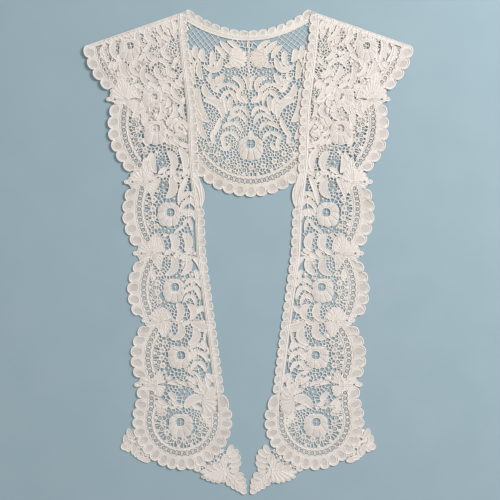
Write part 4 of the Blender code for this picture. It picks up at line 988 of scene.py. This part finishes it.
def thread_tree():
    """Geometry nodes that spin threads along edges and tie a knot at each marked point."""
    tree = bpy.data.node_groups.new("Threads and knots", "GeometryNodeTree")
    names = {}
    for name, way, kind in (("Geometry", "INPUT", "Geometry"), ("Sides", "INPUT", "Int"),
                            ("Knot height", "INPUT", "Float"), ("Thread", "INPUT", "Material"),
                            ("Geometry", "OUTPUT", "Geometry")):
        names[name] = tree.interface.new_socket(name, in_out=way,
                                                socket_type="NodeSocket" + kind).identifier

    def add(kind, *sources, family="GeometryNode", **settings):
        """Add a node. Sources: socket and what it is set to or linked from."""
        made = tree.nodes.new(family + kind)
        for key, value in settings.items():
            setattr(made, key, value)
        for socket, source in sources:
            if isinstance(source, bpy.types.NodeSocket):
                tree.links.new(source, made.inputs[socket])
            else:
                made.inputs[socket].default_value = source
        return made.outputs

    def named(name):
        return add("InputNamedAttribute", ("Name", name), data_type="FLOAT")[0]

    def store(geometry, name, value):
        return add("StoreNamedAttribute", ("Geometry", geometry), ("Name", name), ("Value", value),
                   data_type="FLOAT", domain="POINT")[0]

    given = add("GroupInput", family="Node")
    knot = named("knot")
    place = add("SplineParameter")
    curve = add("MeshToCurve", ("Mesh", given["Geometry"]))[0]
    profile = add("CurvePrimitiveCircle", ("Resolution", given["Sides"]), ("Radius", 1.0))[0]
    tubes = add("CurveToMesh", ("Curve", store(curve, "along", place["Length"])),
                ("Profile Curve", store(profile, "around", place["Factor"])),
                ("Scale", named("radius")), ("Fill Caps", True))[0]
    ball = add("MeshIcoSphere", ("Radius", 1.0), ("Subdivisions", 1))[0]
    tall = add("CombineXYZ", ("X", 1.0), ("Y", 1.0), ("Z", given["Knot height"]),
               family="ShaderNode")[0]
    size = add("VectorMath", (0, tall), ("Scale", knot), family="ShaderNode",
               operation="SCALE")[0]
    marked = add("Compare", (0, knot), family="FunctionNode", data_type="FLOAT",
                 operation="GREATER_THAN")[0]
    knots = add("InstanceOnPoints", ("Points", given["Geometry"]), ("Instance", ball),
                ("Selection", marked), ("Scale", size))[0]
    knots = add("RealizeInstances", ("Geometry", knots))[0]
    joined = add("JoinGeometry", (0, tubes), (0, knots))[0]
    smooth = add("SetShadeSmooth", ("Geometry", joined), ("Shade Smooth", True))[0]
    ready = add("RealizeInstances", ("Geometry", smooth))[0]
    ready = add("SetMaterial", ("Geometry", ready), ("Material", given["Thread"]))[0]
    add("GroupOutput", (0, ready), family="Node")
    return tree, names


def thread_mesh(name, lines, knots, lay, side, sides, material):
    """Cords or bars with their knots, laid, as one plain mesh. Lines: points, radius, closed."""
    verts, edges, radii = [], [], []
    for points, radius, closed in lines:
        first, count = len(verts), len(points)
        edges += [(first + k, first + k + 1) for k in range(count - 1)]
        if closed:
            edges.append((first + count - 1, first))
        verts += lay(points, side).tolist()
        radii += [radius * SQUARE] * count
    sizes = [0.0] * len(verts) + [size * SQUARE for _, size in knots]
    if knots:
        verts += lay(np.array([place for place, _ in knots]), side).tolist()
        radii += [0.0] * len(knots)
    mesh = bpy.data.meshes.new(name)
    mesh.from_pydata(verts, edges, [])
    add_values(mesh, radius=radii, knot=sizes)
    source = add_object(name + "_lines", mesh)
    spin = source.modifiers.new("threads", "NODES")
    spin.node_group = THREADS
    for label, value in (("Sides", sides), ("Knot height", KNOT_HEIGHT), ("Thread", material)):
        spin[THREAD_INPUTS[label]] = value
    bpy.context.view_layer.update()
    graph = bpy.context.evaluated_depsgraph_get()
    plain = bpy.data.meshes.new_from_object(source.evaluated_get(graph))
    source.modifiers.remove(spin)
    bpy.data.objects.remove(source)
    plain.name = name
    plain.materials.clear()
    plain.materials.append(material)
    return add_object(name, plain)


# ---- Materials ----
class Value:
    """A shader socket that can be used in sums: an expression on it adds its Math nodes."""

    def __init__(self, finish, socket):
        self.finish, self.socket = finish, socket

    def __add__(self, other):
        return self.finish.math("ADD", self, other)

    def __sub__(self, other):
        return self.finish.math("SUBTRACT", self, other)

    def __rsub__(self, other):
        return self.finish.math("SUBTRACT", other, self)

    def __mul__(self, other):
        return self.finish.math("MULTIPLY", self, other)

    __radd__ = __add__
    __rmul__ = __mul__


class Finish:
    """A material and the one way its nodes are added."""

    def __init__(self, name):
        self.material = bpy.data.materials.new(name)
        self.material.use_nodes = True
        self.nodes = self.material.node_tree.nodes

    def fill(self, node, sockets):
        """Set a node's sockets, or link them to values."""
        for socket, value in sockets.items():
            if isinstance(value, Value):
                self.material.node_tree.links.new(value.socket, node.inputs[socket])
            else:
                node.inputs[socket].default_value = value

    def node(self, kind, settings, sockets, output=0):
        made = self.nodes.new("ShaderNode" + kind)
        for key, value in settings.items():
            setattr(made, key, value)
        self.fill(made, sockets)
        return Value(self, made.outputs[output])

    def math(self, operation, *values):
        return self.node("Math", {"operation": operation}, dict(enumerate(values)))

    def blend(self, amount, *stops):
        """A colour picked by an amount between stops: place and colour."""
        colour = self.node("ValToRGB", {}, {"Fac": amount})
        elements = colour.socket.node.color_ramp.elements
        while len(elements) < len(stops):
            elements.new(0.5)
        for element, (place, shade) in zip(elements, stops):
            element.position = place
            element.color = (*shade, 1)
        return colour

    def bump(self, strength, distance, height):
        return self.node("Bump", {}, {"Strength": strength, "Distance": distance, "Height": height})

    def noise(self, scale, detail=2.0):
        place = self.node("TexCoord", {}, {}, "Object")
        return self.node("TexNoise", {}, {"Vector": place, "Scale": scale, "Detail": detail})

    def attribute(self, name):
        return self.node("Attribute", {"attribute_name": name}, {}, "Fac")

    def shade(self, **sockets):
        """Set the surface. The sockets' names are written with _ for a space."""
        named = {name.replace("_", " "): value for name, value in sockets.items()}
        self.fill(self.nodes["Principled BSDF"], named)
        return self.material


def wave(value, pitch):
    """From 0 to 1 and back once in each pitch of a distance."""
    finish = value.finish
    return finish.math("SINE", value * (2 * math.pi / pitch)) * 0.5 + 0.5


def clothwork(name, light, dark, shadow):
    """Close rows of ivory thread. Where the work is gauze, the rows open."""
    finish = Finish(name)
    uv = finish.node("UVMap", {"uv_map": "weave"}, {})
    stitches, rows = (wave(finish.node("SeparateXYZ", {}, {0: uv}, axis), pitch)
                      for axis, pitch in (("X", STITCH_PITCH), ("Y", ROW_PITCH)))
    gauze = finish.attribute("gauze")
    mottle, blotch = finish.noise(420.0, 3.0), finish.noise(24.0, 3.0)
    # Tone varies at random with the drawn tone and two noises. Where the work is gauze, the colour
    # is painted lighter: painted light that lifts the shade falling in the sunk gauze.
    amount = 0.35 * finish.attribute("tone") + 0.75 * blotch + 0.55 * mottle - 0.42 - gauze * 0.3
    alpha = 1 - gauze * (rows * stitches * 0.85 + 0.15)
    alpha.socket.node.use_clamp = True
    relief = (1 - rows) * 0.6 + (1 - stitches) * 0.4 + mottle * 0.5
    return finish.shade(Base_Color=finish.blend(amount, (0.0, light), (0.55, dark), (1.0, shadow)),
                        Roughness=0.86, Sheen_Weight=0.15, Specular_IOR_Level=0.25, Alpha=alpha,
                        Normal=finish.bump(0.55, 0.0003, relief))


def corded(name, light, dark, ply):
    """Twisted thread."""
    finish = Finish(name)
    twist = wave(finish.attribute("along") + finish.attribute("around") * ply, ply)
    mottle, blotch = finish.noise(300.0), finish.noise(30.0)
    amount = 0.7 * blotch + 0.5 * mottle + 0.2 * twist - 0.3
    return finish.shade(Base_Color=finish.blend(amount, (0.15, light), (0.9, dark)),
                        Roughness=0.82, Specular_IOR_Level=0.3,
                        Normal=finish.bump(0.5, 0.0002, twist + mottle * 0.4))


def pale_floor():
    finish = Finish("pale_floor")
    grain = finish.blend(finish.noise(14.0, 4.0), (0.3, (0.315, 0.42, 0.47)),
                         (0.75, (0.335, 0.44, 0.49)))
    return finish.shade(Base_Color=grain, Roughness=0.95, Specular_IOR_Level=0.1)


def thread_finish(name, slot, cloth, cord, bars=None):
    """The clothwork, cord and bars of one shade of thread, and their slot."""
    finish = {"cloth": clothwork(name + "_clothwork", *cloth), "slot": slot,
              "cord": corded(name + "_cord", *cord, CORD_PLY)}
    if bars:
        finish["bar"] = corded(name + "_bars", *bars, BAR_PLY)
    return finish


# ---- Drawing the pieces ----
def scalloped_bay(lace, bay, ladder):
    """One bay of the border of a front: scallops, ladder and fillings. Gives its two lines."""
    first, last, bow, count, fillings = bay
    tips = bowed(first, last, bow, 0.5 / (count - 1))
    ladder = bowed(*ladder, LADDER_REACH)
    foot = Line(ladder.at(np.linspace(0, 1, 60), -SCALLOP_FOOT))
    lace.scallops(foot, tips, count, *WIDE_SCALLOP)
    lace.ladder(ladder)
    if fillings:
        lace.fillings(ladder, fillings, *FILLED)
    return ladder, tips


def round_border(lace, centre, rings, tips, turn, count, filled, fillings, lead=()):
    """Scallops, ladder and fillings round a centre. Gives the ladder's line."""
    ladder = round_line(centre, rings, turn)
    if lead:
        ladder = Line([lead, *ladder.points[3:]])
    lace.scallops(round_line(centre, rings + SCALLOP_FOOT, turn), round_line(centre, tips, turn),
                  count, *WIDE_SCALLOP)
    lace.ladder(ladder)
    lace.fillings(round_line(centre, rings, filled), fillings)
    return ladder


def draw_front():
    lace = Lace()
    bays = [scalloped_bay(lace, bay, ladder) for bay, ladder in zip(BAYS, LADDERS)]
    ring = round_border(lace, *MEDALLION, MEDALLION_LEAD)
    for cord, tips in SINGLE_SCALLOPS:
        lace.scallops(Line(cord), Line(tips), 1, *WIDE_SCALLOP)
    for bud, above, below in zip(BUDS, bays, [*bays[1:], (ring, Line(SINGLE_SCALLOPS[1][1]))]):
        lace.bud(*bud)
        lace.sheaves(bud, above, below)
    for row in FLOWERS:
        lace.flower(*row)
    for row in FRONT_LEAVES:
        lace.leaf(*row)
    lace.garland(FRONT_ARCHES)
    for row in FRONT_WHEELS:
        lace.wheel(*row)
    edge = inner_line(FOOT_ROW, TOP_ROW, EDGING)
    lace.line_cord(edge, 0.5, EDGE_CORD)
    lace.strip(edge, 0.3, 2.2)
    draw_fold(lace)
    lace.fan(*FOOT_SHELL)
    region = front_region([ladder for ladder, _ in bays], ring)
    lace.leaflets(region, FRONT_OPEN, FRONT_BANDS, *LEAFLETS)
    lace.between(region, FRONT_OPEN, FRONT_GROUND, (), SCATTERED)
    return lace


def on_fold(along, past):
    """A place on the chart, counted along and past the crease at the shoulder."""
    return CREASE + ALONG_FOLD * along + PAST_FOLD * past


def draw_fold(lace):
    """The strip of close lace that wraps round the shoulder."""
    rows = np.linspace(FOLD_STRIP[0], TUCKED, 12)
    along = np.linspace(edge_along(), FOLD_STRIP[1], 46)
    grid = np.array([[on_fold(a, p) for a in along] for p in rows])
    ripple = 0.5 + 0.5 * np.sin(along / 1.7) * np.sin(rows / 1.3)[:, None]
    lace.patch(grid, GAUZE_LEVEL + 0.0002 * ripple, 0.35 + 0.5 * ripple)
    for p in FOLD_CORDS:
        lace.cord([on_fold(a, p) for a in along], 0.4)


def edge_along():
    """How far along the crease the cord of the inner edging meets it."""
    return float((edge_column(15.0) + EDGING + 0.5 - CREASE[0]) / ALONG_FOLD[0])


def front_region(ladders, ring):
    """Where the ground of a front lies: inside its ladders and its inner cord."""
    points = [on_fold(along, TUCKED - 0.5) for along in (edge_along(), GROUND_ALONG)]
    points.append(GROUND_CORNER)
    for ladder in ladders:
        points += list(ladder.at(np.linspace(0, 1, 14), LADDER_HALF))
    points += list(ring.at(np.linspace(0, 1, 40), LADDER_HALF))
    points += [(edge_column(row) + EDGING + 0.5, row) for row in np.linspace(FOOT_ROW, 18.0, 40)]
    return np.array(points, float)


def draw_inner_edging():
    lace = Lace()
    for first, last, count in INNER_SCALLOPS:
        lace.scallops(inner_line(last, first, EDGING_FOOT), inner_line(last, first), count,
                      *INNER_SCALLOP)
    cord = inner_line(FOOT_ROW, 11.8, EDGING_CORD)
    lace.line_cord(cord, 0.0, EDGE_CORD)
    lace.strip(cord, -1.4, 0.9)
    fold = np.linspace(edge_along() - 9.0, edge_along() - 1.0, 6)
    for past in np.linspace(-2.0, TUCKED, 6):
        lace.cord([on_fold(along, past) for along in fold], 0.36)
    return lace


def draw_neck_edging():
    lace = Lace()
    cord = neck_line(*NECK_EDGING_CORD)
    lace.scallops(cord, neck_line(*NECK_TIPS), NECK_SCALLOPS, *NECK_SCALLOP)
    lace.line_cord(cord, 0.0, EDGE_CORD)
    lace.strip(cord, -0.6, 2.0)
    return lace


def back_region():
    """Where the ground of the back lies."""
    right = [p for p in neck_line(*NECK_CORD).points if p[0] > 0]
    right += [on_fold(along, -(UNDERLAP + SEAM_GAP) / SQUARE) for along in BACK_SHOULDER]
    right += HIDDEN_EDGE
    right += list(round_line(BIB[0], BIB[1] - LADDER_HALF, (40.0, 89.0)).points)
    right = np.array(right)
    return np.concatenate([right, right[::-1] * (-1.0, 1.0)])


def draw_back():
    lace = Lace()
    region = back_region()
    round_border(lace, *BIB)
    lace.flower(*BIB_FLOWER)
    lace.leaf(0.0, 140.0, 0.0, 131.0, 6.0, 0.0)
    for side in (-1, 1):
        for leaf in BACK_LEAVES:
            draw_leaf(lace, leaf, side, BACK_WIDER)
        lace.garland(BACK_ARCHES, side)
        for col, row, radius in BACK_WHEELS:
            lace.wheel(side * col, row, radius)
        tied, edge = (np.array(points) * (side, 1.0) for points in BACK_SHELL)
        lace.fan(tied, edge[::side], 7)
        draw_hidden_lobe(lace, side, region)
    neck = neck_line(*NECK_CORD)
    lace.strip(neck, 0.4, 2.0)
    lace.line_cord(neck, 2.0, 0.4)
    draw_crease(lace)
    for side in (-1, 1):
        draw_net(lace, side, region)
    gaps = [*BACK_OPEN, *((side * col, row, half_width - HIDDEN_LESS, half_height - HIDDEN_LESS)
                          for col, row, half_width, half_height in FRONT_OPEN
                          for side in (-1, 1) if row < HIDDEN_ROWS)]
    nets = [(NET + 1.1 * NET_HALF * ring_of(23)) * (side, 1) for side in (-1, 1)]
    lace.between(region, gaps, BACK_GROUND, nets)
    return lace


def draw_leaf(lace, leaf, side, wider, *shape):
    """A leaf of a table on one side, its width times a factor."""
    col, row, tip_col, tip_row, width, bow = leaf
    lace.leaf(side * col, row, side * tip_col, tip_row, width * wider, side * bow, *shape)


def draw_crease(lace):
    """The close strip where the two halves of the back are joined."""
    rows = np.linspace(NECK_CORD[2] + 20.5, 92.0, 22)
    sides = np.linspace(-1.3, 1.3, 5)
    grid = np.stack(np.meshgrid(sides, rows), axis=-1)
    lace.patch(grid, CLOTH_LEVEL + 0.0003 * np.exp(-(sides / 0.8) ** 2), 0.25)


def draw_net(lace, side, region):
    """A regular net of thin threads in an upper corner, with a knot where they cross."""
    axes = axes_at(math.radians(NET_DEGREES))
    reach = range(-NET_REACH, NET_REACH + 1)
    for place in (axes[0] * i * NET_PITCH + axes[1] * j * NET_PITCH for i in reach for j in reach):
        if ((place / NET_HALF) ** 2).sum() >= 1.25:
            continue
        corner = (NET + place) * (side, 1.0)
        inside = covered(corner[None], region)[0]
        if inside:
            lace.knot(corner, 0.42)
        for axis in axes:
            other = (NET + place + axis * NET_PITCH) * (side, 1.0)
            if inside or covered(other[None], region)[0]:
                lace.bar([corner, (corner + other) / 2, other], NET_BAR)


def draw_hidden_lobe(lace, side, region):
    """The part of the back under a front: the same leaves, out of step with those above."""
    for leaf in FRONT_LEAVES[:HIDDEN_LEAVES]:
        moved = np.array(leaf) + (*HIDDEN_SHIFT, *HIDDEN_SHIFT, 0, 0)
        if covered(moved[:4].reshape(2, 2) * (side, 1.0), region).all():
            draw_leaf(lace, moved, side, 1.0)
    lace.line_cord(Line(np.array(HIDDEN_EDGE) * (side, 1.0)), side * 0.6, 0.6)


def draw_spray(leaves, edge, gaps):
    """Leaves that meet, with close work between them but for a few gaps."""
    lace = Lace()
    for leaf in leaves:
        draw_leaf(lace, leaf, 1, *SPRAY_LEAF)
    lace.between(np.array(edge, float), gaps, SPRAY_GROUND)
    return lace


def draw_point_spray():
    lace = draw_spray(POINT_SPRAY, POINT_EDGE, POINT_GAPS)
    lace.fan(*POINT_FAN)
    lace.floret(*SPRAY_FLOWER)
    return lace


# ---- Making the pieces ----
def make_piece(node, lace, lay, side, finish):
    """The clothwork, cords and ground that stand for one solid."""
    cloth = cloth_mesh(node + "_clothwork", lace, lay, side, finish["cloth"])
    pieces = [thread_mesh(node + "_cords", lace.cords, [], lay, side, 6, finish["cord"])]
    if lace.ground or lace.knots:
        pieces.append(thread_mesh(node + "_bars", lace.ground, lace.knots, lay, side, 4,
                                  finish["bar"]))
    for piece in (cloth, *pieces):
        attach(piece, "root")
    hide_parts(node)


def make_collar():
    front, back, edging = (thread_finish(*shade) for shade in SHADES)
    edging["bar"] = front["bar"]
    make_piece("back_panel", draw_back(), lay_on_surface, 1, back)
    make_piece("neck_edging", draw_neck_edging(), lay_on_surface, 1, edging)
    on_back = ["back_panel"]
    laces = (("front", draw_front(), front, (0.222, 0.690), 0.0748, on_back),
             ("inner_edging", draw_inner_edging(), edging, (0.0114, 0.580), None, on_back),
             ("point_spray", draw_point_spray(), front, (0.0735, 0.0769), 0.0038, []),
             ("corner_sprig", draw_spray(CORNER_SPRIG, CORNER_EDGE, CORNER_GAPS), front,
              (0.0458, 0.0522), 0.0016, []))
    for side, name in ((-1, "_left"), (1, "_right")):
        for node, lace, finish, flat, area, rests_on in laces:
            make_piece(node + name, lace, lay_over_back, side, finish)


# ---- Making the floor, light and camera ----
def make_floor():
    mesh = bpy.data.meshes.new("floor")
    mesh.from_pydata([(FLOOR * x, FLOOR * y, 0) for x, y in ((-1, -1), (1, -1), (1, 1), (-1, 1))],
                     [], [(0, 1, 2, 3)])
    mesh.materials.append(pale_floor())
    floor = add_object("floor", mesh)
    floor.location.z = -FLOOR_DROP


def make_lights():
    world = bpy.data.worlds.new("studio")
    bpy.context.scene.world = world
    world.use_nodes = True
    sky = world.node_tree.nodes["Background"].inputs
    sky["Color"].default_value = (1.0, 1.0, 1.0, 1)
    sky["Strength"].default_value = SKY
    for name, place, size, power in LAMPS:
        lamp = bpy.data.lights.new(name, "AREA")
        lamp.size = size
        lamp.energy = power
        light = add_object(name, lamp)
        light.location = place
        light.rotation_euler = (-Vector(place)).to_track_quat("-Z", "Y").to_euler()


def make_camera():
    """Straight down on the collar."""
    lens = bpy.data.cameras.new("camera")
    lens.lens = FOCAL_LENGTH
    lens.sensor_width = SENSOR
    camera = add_object("camera", lens)
    camera.location = (*VIEW_CENTRE, VIEW_WIDTH * FOCAL_LENGTH / SENSOR)
    bpy.context.scene.camera = camera


THREADS, THREAD_INPUTS = thread_tree()
make_camera()
make_collar()
make_floor()
make_lights()
bpy.context.scene.view_settings.view_transform = "Standard"
